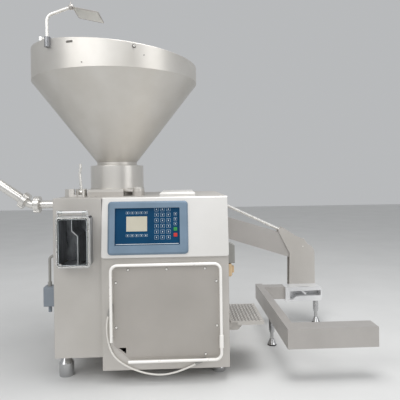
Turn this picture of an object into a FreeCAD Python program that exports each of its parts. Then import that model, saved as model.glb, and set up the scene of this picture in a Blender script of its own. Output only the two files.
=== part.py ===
import FreeCAD, Part
import math
import os
import re
import Sketcher

# Vacuum filler: a stainless steel machine that pumps meat paste out of a hopper, with a trolley lift.
# Working axes: x from the left wall to the right, y from the front wall to the back, z up from the floor.
# Every finished piece is then moved so that the origin lies on the floor under the middle of the machine.

os.makedirs("parts", exist_ok=True)
V = FreeCAD.Vector
doc = FreeCAD.newDocument("vacuum_filler")
sheet = doc.addObject("Spreadsheet::Sheet", "Sizes")


class Values:
    """The sizes in the sheet as plain numbers."""


s = Values()
nodes = {}
own_place = {}


def sizes(**named):
    """Write each size into the sheet under its own alias."""
    for name, value in named.items():
        row = len(vars(s)) + 1
        sheet.set(f"A{row}", name)
        sheet.set(f"B{row}", f"{value:.6f}")
        sheet.setAlias(f"B{row}", name)
        setattr(s, name, value)


def formula(text):
    """Turn a formula in size names into one that reads the sheet."""
    return re.sub(r"[a-z_][a-z_0-9]*", lambda word: "Sizes." + word[0] if hasattr(s, word[0]) else word[0],
                  text)


def bind(thing, **formulas):
    for name, text in formulas.items():
        thing.setExpression(name.replace("__", "."), formula(text))


# Sketches, and the features built on them

NORMAL_SIGN = {"XY_Plane": 1, "YZ_Plane": 1, "XZ_Plane": -1}


def new_body(label):
    return doc.addObject("PartDesign::Body", label)


def new_sketch(body, plane, level="0"):
    """Attach a sketch to one of the body's own planes, moved to a level along that plane's axis."""
    support = next(item for item in body.Origin.OriginFeatures if item.Role == plane)
    sketch = body.newObject("Sketcher::SketchObject", body.Name + "_sketch")
    sketch.AttachmentSupport = (support, [""])
    sketch.MapMode = "FlatFace"
    bind(sketch, AttachmentOffset__Base__z=level if NORMAL_SIGN[plane] > 0 else f"-({level})")
    return sketch


def fix(sketch, kind, part, spot, start, text):
    """Hold one point of a drawn part at a formula's distance from the axes."""
    index = sketch.addConstraint(Sketcher.Constraint(kind, -1, 1, part, spot, start))
    sketch.setExpression(f"Constraints[{index}]", formula(text))


def outline(sketch, points):
    """Draw a closed outline whose corners are formulas."""
    first = sketch.GeometryCount
    count = len(points)
    rough = [V(1 + i, (1 + i) ** 2, 0) for i in range(count)]
    for i in range(count):
        sketch.addGeometry(Part.LineSegment(rough[i], rough[(i + 1) % count]), False)
    for i in range(count):
        sketch.addConstraint(Sketcher.Constraint("Coincident", first + i, 2, first + (i + 1) % count, 1))
    for i, (across, up) in enumerate(points):
        fix(sketch, "DistanceX", first + i, 1, rough[i].x, across)
        fix(sketch, "DistanceY", first + i, 1, rough[i].y, up)


def rectangle(sketch, left, low, right, high):
    outline(sketch, [(left, low), (right, low), (right, high), (left, high)])


def circle(sketch, across, up, radius):
    ring = sketch.addGeometry(Part.Circle(V(1, 1, 0), V(0, 0, 1), 1), False)
    fix(sketch, "DistanceX", ring, 3, 1.0, across)
    fix(sketch, "DistanceY", ring, 3, 1.0, up)
    index = sketch.addConstraint(Sketcher.Constraint("Radius", ring, 1.0))
    sketch.setExpression(f"Constraints[{index}]", formula(radius))


def extrude(body, sketch, length, kind="Pad"):
    """Add (Pad) or cut (Pocket) along the plane's axis, towards its positive end."""
    plane = sketch.AttachmentSupport[0][0].Role
    feature = body.newObject("PartDesign::" + kind, body.Name + "_" + kind.lower())
    feature.Profile = sketch
    feature.Reversed = (NORMAL_SIGN[plane] < 0) == (kind == "Pad")
    bind(feature, Length=length)
    return feature


def revolve(body, sketch, kind="Revolution"):
    feature = body.newObject("PartDesign::" + kind, body.Name + "_turned")
    feature.Profile = sketch
    feature.ReferenceAxis = (sketch, ["V_Axis"])
    feature.Angle = 360
    return feature


def edges_along(axis, keep=lambda middle: True):
    """Pick straight edges that run along an axis."""
    def pick(edge):
        if not isinstance(edge.Curve, Part.Line):
            return False
        return abs(edge.Curve.Direction.dot(axis)) > 0.999 and keep(edge.CenterOfMass)
    return pick


def round_edges(body, radius, pick, kind="Fillet"):
    """Fillet or chamfer the picked edges of the body so far."""
    doc.recompute()
    base = body.Tip
    names = [f"Edge{i + 1}" for i, edge in enumerate(base.Shape.Edges) if pick(edge)]
    feature = body.newObject("PartDesign::" + kind, body.Name + "_" + kind.lower())
    feature.Base = (base, names)
    bind(feature, **{"Radius" if kind == "Fillet" else "Size": radius})
    return feature


AXIS_X, AXIS_Y, AXIS_Z = V(1, 0, 0), V(0, 1, 0), V(0, 0, 1)
TURNS = {
    "x": FreeCAD.Rotation(AXIS_Y, 90),
    "y": FreeCAD.Rotation(AXIS_X, -90),
    "z": FreeCAD.Rotation(),
}


# Simple solids, and what joins them

def place(thing, x, y, z):
    own_place[thing.Name] = (x, y, z)
    bind(thing, Placement__Base__x=x, Placement__Base__y=y, Placement__Base__z=z)
    return thing


def box(x0, y0, z0, x1, y1, z1):
    """A box between two corners."""
    thing = doc.addObject("Part::Box", "box")
    bind(thing, Length=f"({x1}) - ({x0})", Width=f"({y1}) - ({y0})", Height=f"({z1}) - ({z0})")
    return place(thing, x0, y0, z0)


def cylinder(x, y, z, radius, length, axis="z"):
    """A cylinder that starts at a point and runs along an axis."""
    thing = doc.addObject("Part::Cylinder", "cylinder")
    thing.Placement = FreeCAD.Placement(V(), TURNS[axis])
    bind(thing, Radius=radius, Height=length)
    return place(thing, x, y, z)


def cone(x, y, z, radius_low, radius_high, length, axis="z"):
    thing = doc.addObject("Part::Cone", "cone")
    thing.Placement = FreeCAD.Placement(V(), TURNS[axis])
    bind(thing, Radius1=radius_low, Radius2=radius_high, Height=length)
    return place(thing, x, y, z)


def fuse(*things):
    joined = doc.addObject("Part::MultiFuse", "joined")
    joined.Shapes = list(things)
    return joined


def cut(base, *tools):
    result = doc.addObject("Part::Cut", "cut")
    result.Base = base
    result.Tool = tools[0] if len(tools) == 1 else fuse(*tools)
    return result


def group(things):
    """Separate solids that share one node."""
    together = doc.addObject("Part::Compound", "group")
    together.Links = list(things)
    return together


def solid(shape):
    """A document object for a shape from Part's own functions; the compound keeps the shape's place."""
    thing = doc.addObject("Part::Feature", "shape")
    thing.Shape = Part.Compound([shape])
    return thing


def node(label, thing):
    """Name a finished piece."""
    thing.Label = label
    nodes[label] = thing


def bent_rod(points, bend, radius):
    """A round rod along straight runs with one bend radius at every corner."""
    edges = []
    start = points[0]
    for i in range(1, len(points) - 1):
        corner = points[i]
        back = (points[i - 1] - corner).normalize()
        ahead = (points[i + 1] - corner).normalize()
        half = back.getAngle(ahead) / 2
        reach = bend / math.tan(half)
        first = corner + back * reach
        last = corner + ahead * reach
        middle = corner + (back + ahead).normalize() * (bend / math.sin(half) - bend)
        edges.append(Part.LineSegment(start, first).toShape())
        edges.append(Part.Arc(first, middle, last).toShape())
        start = last
    edges.append(Part.LineSegment(start, points[-1]).toShape())
    ring = Part.Wire([Part.Circle(points[0], points[1] - points[0], radius).toShape()])
    return Part.Wire(edges).makePipeShell([ring], True, True)


def tube(start, end, radius, bore=0.0):
    """A straight tube or rod between two points."""
    along = end - start
    outer = Part.makeCylinder(radius, along.Length, start, along)
    if bore <= 0:
        return outer
    return outer.cut(Part.makeCylinder(bore, along.Length, start, along))


# Main sizes, which set how far the machine reaches: the hopper, the vessel and the fork

HOPPER_RADIUS = 525
BAND_LOW = 1743
RIM_RISE_LEFT = 195
RIM_RISE_RIGHT = 99
VESSEL_REACH = 90
FORK_LENGTH = 508


# Housing

sizes(
    cabinet_width=969, cabinet_depth=960, cabinet_top=1024, seam_x=267,
    pump_side_bottom=143, drive_side_bottom=75, drive_step=20,
    wall=3, top_sheet=4, corner_radius=6,
    hopper_x=294.5, hopper_y=470.8, throat_radius=120,
    outlet_z=968, outlet_hole_radius=28,
    control_bottom=694, control_depth=60,
    face_low_y=-40, face_high_y=12, face_top=1018,
    fit=0.05, seat=0.3,
)
sizes(
    wall_top=s.cabinet_top - s.top_sheet,
    back_y=s.cabinet_depth - s.wall,
    drive_front=-s.drive_step,
)


# Vacuum vessel in the pump side

sizes(
    vessel_left=37, vessel_right=219, vessel_low=656, vessel_high=931,
    vessel_reach=VESSEL_REACH, vessel_depth=150, vessel_wall=2.5, rim_width=11, rim_thickness=8,
    vessel_corner=20, baffle_sheet=3,
)


def make_pump_cabinet():
    body = new_body("pump_cabinet")
    plan = new_sketch(body, "XY_Plane", "pump_side_bottom")
    outline(plan, [("0", "0"), ("seam_x", "0"), ("seam_x", "wall"), ("wall", "wall"), ("wall", "back_y"),
                   ("0", "back_y")])
    extrude(body, plan, "wall_top - pump_side_bottom")
    round_edges(body, "corner_radius", edges_along(AXIS_Z, lambda p: p.x < 1 and p.y < 1))
    floor = new_sketch(body, "XY_Plane", "pump_side_bottom")
    rectangle(floor, "wall - fit", "wall - fit", "seam_x", "back_y")
    extrude(body, floor, "wall")
    mouth = new_sketch(body, "XZ_Plane", "-1")
    rectangle(mouth, "vessel_left - fit", "vessel_low - fit", "vessel_right + fit", "vessel_high + fit")
    extrude(body, mouth, "wall + 2", "Pocket")
    round_edges(body, "vessel_corner", edges_along(
        AXIS_Y, lambda p: 5 < p.x < s.vessel_right + 1 and s.vessel_low - 1 < p.z < s.vessel_high + 1))
    pipe_hole = new_sketch(body, "YZ_Plane", "-1")
    circle(pipe_hole, "hopper_y", "outlet_z", "outlet_hole_radius")
    circle(pipe_hole, "conduit_y", "conduit_high", "conduit_radius + fit")
    extrude(body, pipe_hole, "wall + 2", "Pocket")
    node("pump_cabinet", body)


# Cover panel on the front of the drive side

sizes(
    panel_left=331, panel_right=911, panel_low=134, panel_high=640, panel_thickness=4, panel_corner=22,
    panel_cut_x=84, panel_cut_z=78, service_inset=26,
    screw_radius=3, screw_head_radius=6.5, screw_head=3.5, screw_length=12, screw_clearance=0.2,
    notch_left=355, notch_right=396, notch_low=166, notch_high=200,
)
NOTCH = [("notch_left", "notch_high"), ("notch_right", "notch_low"), ("notch_right", "notch_high")]
SCREWS = [
    (411, 627), (623, 627), (835, 627), (344, 557), (344, 312), (898, 556), (898, 309), (833, 153),
]


def make_drive_cabinet():
    body = new_body("drive_cabinet")
    side = new_sketch(body, "YZ_Plane", "seam_x")
    outline(side, [
        ("drive_front", "drive_side_bottom"), ("back_y", "drive_side_bottom"), ("back_y", "wall_top"),
        ("control_depth", "wall_top"), ("control_depth", "control_bottom"), ("drive_front", "control_bottom"),
    ])
    extrude(body, side, "cabinet_width - seam_x")
    inside = new_sketch(body, "YZ_Plane", "seam_x")
    outline(inside, [
        ("drive_front + wall", "drive_side_bottom + wall"), ("back_y + 1", "drive_side_bottom + wall"),
        ("back_y + 1", "wall_top + 1"), ("control_depth + wall", "wall_top + 1"),
        ("control_depth + wall", "control_bottom - wall"), ("drive_front + wall", "control_bottom - wall"),
    ])
    extrude(body, inside, "cabinet_width - seam_x - wall", "Pocket")
    skirt = new_sketch(body, "YZ_Plane", "seam_x")
    rectangle(skirt, "drive_front + wall / 2", "drive_side_bottom + wall / 2", "back_y", "pump_side_bottom")
    extrude(body, skirt, "wall")
    return_wall = new_sketch(body, "XY_Plane", "pump_side_bottom - wall")
    rectangle(return_wall, "seam_x", "drive_front + wall / 2", "seam_x + wall", "wall")
    extrude(body, return_wall, "control_bottom - pump_side_bottom")
    service = new_sketch(body, "XZ_Plane", "drive_front - 1")
    rectangle(service, "panel_left + service_inset", "panel_low + panel_cut_z", "panel_right - service_inset",
              "panel_high - service_inset")
    extrude(body, service, "wall + 2", "Pocket")
    screw_holes = new_sketch(body, "XZ_Plane", "drive_front - 1")
    for x, z in SCREWS:
        circle(screw_holes, str(x), str(z), "screw_radius + screw_clearance")
    extrude(body, screw_holes, "wall + 2", "Pocket")
    notch = new_sketch(body, "XZ_Plane", "drive_front - 1")
    outline(notch, NOTCH)
    extrude(body, notch, "wall + 2", "Pocket")
    round_edges(body, "corner_radius", edges_along(AXIS_Z, lambda p: p.x > s.cabinet_width - 1 and p.y < 0))
    node("drive_cabinet", body)


def make_cover_panel():
    body = new_body("cover_panel")
    face = new_sketch(body, "XZ_Plane", "drive_front - panel_thickness")
    outline(face, [
        ("panel_left", "panel_low + panel_cut_z"), ("panel_left + panel_cut_x", "panel_low"),
        ("panel_right", "panel_low"), ("panel_right", "panel_high"), ("panel_left", "panel_high"),
    ])
    for x, z in SCREWS:
        circle(face, str(x), str(z), "screw_radius + screw_clearance")
    outline(face, NOTCH)
    extrude(body, face, "panel_thickness")
    round_edges(body, "panel_corner", edges_along(
        AXIS_Y, lambda p: p.z > s.panel_high - 1 or p.x > s.panel_right - 1))
    node("cover_panel", body)
    screws = []
    for x, z in SCREWS:
        front = "drive_front - panel_thickness - screw_head"
        head = cylinder(str(x), front, str(z), "screw_head_radius", "screw_head", "y")
        shank = cylinder(str(x), front, str(z), "screw_radius", "screw_length + screw_head", "y")
        screws.append(fuse(head, shank))
    node("cover_screws", group(screws))


def outer_side(point):
    """Tell whether a point lies on one of the housing's outer walls."""
    return point.x < 1 or point.y < 1 or point.x > s.cabinet_width - 1 or point.y > s.cabinet_depth - 1


def make_top_plate():
    body = new_body("top_plate")
    plan = new_sketch(body, "XY_Plane", "wall_top")
    outline(plan, [
        ("0", "0"), ("seam_x", "0"), ("seam_x", "control_depth"), ("cabinet_width", "control_depth"),
        ("cabinet_width", "cabinet_depth"), ("0", "cabinet_depth"),
    ])
    extrude(body, plan, "top_sheet")
    round_edges(body, "corner_radius", edges_along(AXIS_Z, lambda p: p.x < 1 or p.y > s.cabinet_depth - 1))
    round_edges(body, "top_sheet / 2", lambda edge: edge.BoundBox.ZMin > s.cabinet_top - 0.01
                and isinstance(edge.Curve, Part.Line) and outer_side(edge.CenterOfMass))
    block = new_sketch(body, "XY_Plane", "wall_top")
    rectangle(block, "flange_left", "flange_front", "flange_right", "hopper_y")
    extrude(body, block, "seat_top - wall_top")
    ring = new_sketch(body, "XY_Plane", "wall_top")
    circle(ring, "hopper_x", "hopper_y", "flange_radius")
    extrude(body, ring, "seat_top - wall_top")
    boss = new_sketch(body, "XY_Plane", "wall_top")
    circle(boss, "pin_x", "pin_y", "ear_radius")
    extrude(body, boss, "seat_top - wall_top")
    throat = new_sketch(body, "XY_Plane", "wall_top - 1")
    circle(throat, "hopper_x", "hopper_y", "throat_radius")
    extrude(body, throat, "seat_top - wall_top + 2", "Pocket")
    node("top_plate", body)


sizes(louvre_width=220, louvre_height=9, louvre_pitch=26, louvre_left=560, louvre_low=240)
LOUVRES = 9


def make_rear_panel():
    body = new_body("rear_panel")
    face = new_sketch(body, "XZ_Plane", "back_y")
    outline(face, [
        ("0", "pump_side_bottom"), ("seam_x", "pump_side_bottom"), ("seam_x", "drive_side_bottom"),
        ("cabinet_width", "drive_side_bottom"), ("cabinet_width", "wall_top"), ("0", "wall_top"),
    ])
    extrude(body, face, "wall")
    slot = new_sketch(body, "XZ_Plane", "back_y - 1")
    rectangle(slot, "louvre_left", "louvre_low", "louvre_left + louvre_width", "louvre_low + louvre_height")
    first = extrude(body, slot, "wall + 2", "Pocket")
    doc.recompute()
    rows = body.newObject("PartDesign::LinearPattern", "louvre_rows")
    rows.Originals = [first]
    rows.Direction = (slot, ["V_Axis"])
    rows.Occurrences = LOUVRES
    bind(rows, Length=f"louvre_pitch * {LOUVRES - 1}")
    body.Tip = rows
    node("rear_panel", body)


sizes(hatch_left=586, hatch_right=791, hatch_front=75, hatch_back=560, hatch_height=24, hatch_bevel=9)


def make_top_hatch():
    body = new_body("top_hatch")
    plan = new_sketch(body, "XY_Plane", "cabinet_top")
    rectangle(plan, "hatch_left", "hatch_front", "hatch_right", "hatch_back")
    extrude(body, plan, "hatch_height")
    round_edges(body, "hatch_bevel", lambda edge: edge.BoundBox.ZMin > s.cabinet_top + s.hatch_height - 0.01,
                "Chamfer")
    node("top_hatch", body)


# Feet and inner frame

sizes(
    foot_left_x=35, foot_right_x=918, foot_front_y=128, foot_back_y=860,
    tall_cup_radius=42, tall_cup_height=108, tall_cup_dome=34, tall_stem_radius=16,
    short_cup_radius=38, short_cup_height=40, short_cup_dome=16, short_stem_radius=14,
    base_thickness=12, base_margin=6, column_radius=20, column_spread=115, post_radius=24,
    pump_bottom=860, pump_flange=20, pump_flange_radius=190,
)
sizes(base_low=s.pump_side_bottom + s.wall)


def machine_foot(x, y, radius, height, dome, stem, top):
    """A cup foot: straight skirt, rounded shoulder, then the threaded stem up to the housing."""
    cup = cylinder(x, y, "0", radius, f"{height} - {dome}")
    shoulder = cone(x, y, f"{height} - {dome}", radius, f"{radius} - {dome} * 0.6", dome)
    neck = cylinder(x, y, "0", stem, top)
    return fuse(cup, shoulder, neck)


def make_feet():
    feet = []
    for y in ("foot_front_y", "foot_back_y"):
        feet.append(machine_foot("foot_left_x", y, "tall_cup_radius", "tall_cup_height", "tall_cup_dome",
                                 "tall_stem_radius", "pump_side_bottom"))
        feet.append(machine_foot("foot_right_x", y, "short_cup_radius", "short_cup_height", "short_cup_dome",
                                 "short_stem_radius", "drive_side_bottom"))
    node("machine_feet", group(feet))


def make_base_frame():
    plate = box("base_margin", "base_margin + wall", "base_low", "cabinet_width - base_margin",
                "back_y - base_margin",
                "base_low + base_thickness")
    pieces = [plate]
    for side_x in (-1, 1):
        for side_y in (-1, 1):
            pieces.append(cylinder(f"hopper_x + {side_x} * column_spread",
                                   f"hopper_y + {side_y} * column_spread",
                                   "base_low", "column_radius", "pump_bottom - base_low"))
    for y in ("foot_front_y", "foot_back_y"):
        pieces.append(cylinder("foot_right_x", y, "drive_side_bottom + wall", "post_radius",
                               "base_low - drive_side_bottom - wall"))
    node("base_frame", fuse(*pieces))


# Vane pump, its drive and the vacuum pump

sizes(
    pump_radius=165, chamber_radius=128, chamber_shift=14, chamber_floor=885,
    rotor_radius=112, rotor_top=1012, rotor_gap=1, shaft_radius=30, vane_thickness=8, vane_depth=46,
    slot_clearance=0.1,
    gear_radius=112, gear_bottom=640, motor_radius=98, motor_bottom=262, motor_flange=18,
)
VANES = 6


def rotor_block(inner, outer, width, low, turn):
    """A radial block of the rotor, from an inner to an outer radius, turned about the rotor's axis."""
    block = Part.makeBox(outer - inner, width, s.rotor_top - low, V(inner, -width / 2, low))
    block.rotate(V(), AXIS_Z, turn)
    return block.translated(V(s.hopper_x, s.hopper_y, 0))


def make_pump():
    ring = fuse(cylinder("hopper_x", "hopper_y", "pump_bottom", "pump_radius", "wall_top - pump_bottom"),
                cylinder("hopper_x", "hopper_y", "pump_bottom", "pump_flange_radius", "pump_flange"))
    chamber = cylinder("hopper_x - chamber_shift", "hopper_y", "chamber_floor", "chamber_radius",
                       "wall_top - chamber_floor + 1")
    shaft_bore = cylinder("hopper_x", "hopper_y", "pump_bottom - 1", "shaft_radius + fit",
                          "chamber_floor - pump_bottom + 2")
    port = cylinder("hopper_x - pump_radius - 1", "hopper_y", "outlet_z", "tube_radius - tube_wall",
                    "pump_radius - shaft_radius", "x")
    socket = cylinder("hopper_x - pump_radius - 1", "hopper_y", "outlet_z", "tube_radius + fit",
                      "port_depth + 1", "x")
    node("pump_housing", cut(ring, chamber, shaft_bore, port, socket))

    drum = cylinder("hopper_x", "hopper_y", "chamber_floor + rotor_gap", "rotor_radius",
                    "rotor_top - chamber_floor - rotor_gap")
    shaft = cylinder("hopper_x", "hopper_y", "pump_bottom", "shaft_radius", "hub_top - pump_bottom")
    inner = s.rotor_radius - s.vane_depth
    low = s.chamber_floor + s.rotor_gap
    slots = []
    vanes = []
    for i in range(VANES):
        turn = i * 360 / VANES
        width = s.vane_thickness + 2 * s.slot_clearance
        slots.append(solid(rotor_block(inner, inner + s.vane_depth + 2, width, low, turn)))
        vanes.append(solid(rotor_block(inner + s.fit, inner + s.vane_depth - 1, s.vane_thickness, low, turn)))
    node("pump_rotor", cut(fuse(drum, shaft), *slots))
    node("pump_vanes", group(vanes))


def make_drive():
    gear = fuse(
        cylinder("hopper_x", "hopper_y", "gear_bottom", "gear_radius", "pump_bottom - gear_bottom"),
        cylinder("hopper_x", "hopper_y", "gear_bottom", "gear_radius + motor_flange / 2", "motor_flange"),
    )
    body = new_body("drive_motor")
    plan = new_sketch(body, "XY_Plane", "motor_bottom")
    circle(plan, "hopper_x", "hopper_y", "motor_radius")
    extrude(body, plan, "gear_bottom - motor_bottom - motor_flange")
    flange = new_sketch(body, "XY_Plane", "gear_bottom - motor_flange")
    circle(flange, "hopper_x", "hopper_y", "gear_radius")
    extrude(body, flange, "motor_flange")
    round_edges(body, "motor_flange / 2", lambda edge: edge.BoundBox.ZMax < s.motor_bottom + 0.01, "Chamfer")
    node("gear_motor", fuse(gear, body))


sizes(
    vac_x=730, vac_y=330, vac_radius=95, vac_length=300, vac_foot=24, vac_motor_radius=75,
    vac_motor_length=140,
    electrics_left=600, electrics_right=900, electrics_front=120, electrics_back=290, electrics_low=420,
    electrics_high=900,
)


def make_vacuum_pump():
    low = "base_low + base_thickness"
    axis_z = f"{low} + vac_foot + vac_radius"
    case = cylinder("vac_x - vac_length / 2", "vac_y", axis_z, "vac_radius", "vac_length", "x")
    motor = cylinder("vac_x - vac_length / 2 - vac_motor_length", "vac_y", axis_z, "vac_motor_radius",
                     "vac_motor_length", "x")
    foot = box("vac_x - vac_length / 2", "vac_y - vac_radius * 0.7", low, "vac_x + vac_length / 2",
               "vac_y + vac_radius * 0.7", f"{low} + vac_foot + vac_radius * 0.4")
    port = cylinder("vac_x", "vac_y", axis_z, "vac_foot", "vac_radius + vac_foot")
    node("vacuum_pump", fuse(case, motor, foot, port))


def make_electrics_box():
    cabinet = fuse(
        box("electrics_left", "electrics_front", "electrics_low", "electrics_right", "electrics_back",
            "electrics_high"),
        box("electrics_right", "electrics_front", "electrics_low", "cabinet_width - wall",
            "electrics_front + wall * 2",
            "electrics_low + wall * 8"),
        box("electrics_right", "electrics_front", "electrics_high - wall * 8", "cabinet_width - wall",
            "electrics_front + wall * 2", "electrics_high"),
    )
    node("electrics_box", cabinet)


# Vacuum vessel: deep-drawn box with a rim, a bent baffle inside and a clear hinged lid

sizes(
    hinge_z=954, hinge_rod_radius=6, hinge_lug=10, lid_thickness=9, lid_corner=16, knuckle_radius=9,
    knuckle_length=22, lug_radius=9, lug_back=18 - VESSEL_REACH,
    lid_margin=4, baffle_top_x=120, baffle_low_x=151, baffle_bend_high=851, baffle_bend_low=822,
)


def make_vessel():
    body = new_body("vessel_body")
    outer = new_sketch(body, "XZ_Plane", "-vessel_reach")
    rectangle(outer, "vessel_left", "vessel_low", "vessel_right", "vessel_high")
    extrude(body, outer, "vessel_reach + vessel_depth")
    round_edges(body, "vessel_corner", edges_along(AXIS_Y))
    bore = new_sketch(body, "XZ_Plane", "-vessel_reach + rim_thickness")
    rectangle(bore, "vessel_left + vessel_wall", "vessel_low + vessel_wall", "vessel_right - vessel_wall",
              "vessel_high - vessel_wall")
    extrude(body, bore, "vessel_reach + vessel_depth - rim_thickness - vessel_wall", "Pocket")
    mouth = new_sketch(body, "XZ_Plane", "-vessel_reach - 1")
    rectangle(mouth, "vessel_left + rim_width", "vessel_low + rim_width", "vessel_right - rim_width",
              "vessel_high - rim_width")
    extrude(body, mouth, "rim_thickness + 1", "Pocket")
    round_edges(body, "vessel_corner - rim_width", edges_along(
        AXIS_Y,
        lambda p: p.y < s.rim_thickness - s.vessel_reach and s.vessel_left + 5 < p.x < s.vessel_right - 5))
    for start in ("vessel_left + hinge_lug", "vessel_right - hinge_lug - vessel_wall * 2"):
        lug = new_sketch(body, "YZ_Plane", start)
        outline(lug, [
            ("-vessel_reach", "vessel_high - vessel_wall"), ("lug_back", "vessel_high - vessel_wall"),
            ("lug_back", "hinge_z"), ("-vessel_reach + lug_radius", "hinge_z + lug_radius"),
            ("-vessel_reach - lug_radius", "hinge_z + lug_radius"),
            ("-vessel_reach - lug_radius", "hinge_z - lug_radius"),
            ("-vessel_reach", "hinge_z - lug_radius"),
        ])
        extrude(body, lug, "vessel_wall * 2")
    rod = new_sketch(body, "YZ_Plane", "vessel_left + hinge_lug")
    circle(rod, "-vessel_reach", "hinge_z", "hinge_rod_radius")
    extrude(body, rod, "vessel_right - vessel_left - hinge_lug * 2")
    node("vessel_body", body)

    baffle = new_body("vessel_baffle")
    bend = new_sketch(baffle, "XZ_Plane", "-vessel_reach + rim_thickness + vessel_wall")
    outline(bend, [
        ("baffle_top_x", "vessel_high - vessel_wall"), ("baffle_top_x", "baffle_bend_high"),
        ("baffle_low_x", "baffle_bend_low"), ("baffle_low_x", "vessel_low + vessel_wall"),
        ("baffle_low_x + baffle_sheet", "vessel_low + vessel_wall"),
        ("baffle_low_x + baffle_sheet", "baffle_bend_low + baffle_sheet"),
        ("baffle_top_x + baffle_sheet", "baffle_bend_high + baffle_sheet"),
        ("baffle_top_x + baffle_sheet", "vessel_high - vessel_wall"),
    ])
    extrude(baffle, bend, "vessel_reach + vessel_depth - rim_thickness - vessel_wall * 2")
    node("vessel_baffle", baffle)

    lid = new_body("vessel_lid")
    pane = new_sketch(lid, "XZ_Plane", "-vessel_reach - seat - lid_thickness")
    rectangle(pane, "vessel_left + lid_margin", "vessel_low + lid_margin", "vessel_right - lid_margin",
              "vessel_high - lid_margin")
    extrude(lid, pane, "lid_thickness")
    round_edges(lid, "lid_corner", edges_along(AXIS_Y))
    for start in ("vessel_left + hinge_lug + vessel_wall * 2 + seat",
                  "vessel_right - hinge_lug - vessel_wall * 2 - seat - knuckle_length"):
        ear = new_sketch(lid, "YZ_Plane", start)
        rectangle(ear, "-vessel_reach - seat - lid_thickness", "vessel_high - lid_margin * 2",
                  "-vessel_reach - seat", "hinge_z")
        extrude(lid, ear, "knuckle_length")
        knuckle = new_sketch(lid, "YZ_Plane", start)
        circle(knuckle, "-vessel_reach", "hinge_z", "knuckle_radius")
        extrude(lid, knuckle, "knuckle_length")
    rod_bore = new_sketch(lid, "YZ_Plane", "vessel_left")
    circle(rod_bore, "-vessel_reach", "hinge_z", "hinge_rod_radius + fit")
    extrude(lid, rod_bore, "vessel_right - vessel_left", "Pocket")
    node("vessel_lid", lid)


# Control box with a leaning face

sizes(
    bezel_left=36, bezel_low=18, bezel_width=442, bezel_height=293, bezel_thickness=14, bezel_corner=20,
    pane_left=75, pane_low=69, pane_width=357, pane_height=204, pane_thickness=5,
    screen_left=138, screen_low=145, screen_width=114, screen_height=82, screen_thickness=1.5,
    key_side=20, key_height=3, key_travel=1.5, green_low=145, red_low=113, key_left=398,
    control_corner=12, control_edge=4, control_wall=6,
)
LEAN = math.atan2(s.face_high_y - s.face_low_y, s.face_top - s.control_bottom)
sizes(lean_sin=math.sin(LEAN), lean_cos=math.cos(LEAN))


def on_face(thing, right, up, out):
    """Put a piece on the leaning face: right and up along it from its lower left corner, and out from it."""
    thing.Placement = FreeCAD.Placement(V(), FreeCAD.Rotation(AXIS_X, 90 - math.degrees(LEAN)))
    return place(thing, f"seam_x + {right}", f"face_low_y + ({up}) * lean_sin - ({out}) * lean_cos",
                 f"control_bottom + ({up}) * lean_cos + ({out}) * lean_sin")


def face_plate(label, width, height, thickness, corner):
    """A rounded plate drawn flat, from its lower left corner."""
    body = new_body(label)
    plan = new_sketch(body, "XY_Plane")
    rectangle(plan, "0", "0", width, height)
    extrude(body, plan, thickness)
    round_edges(body, corner, edges_along(AXIS_Z))
    return body


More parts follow.
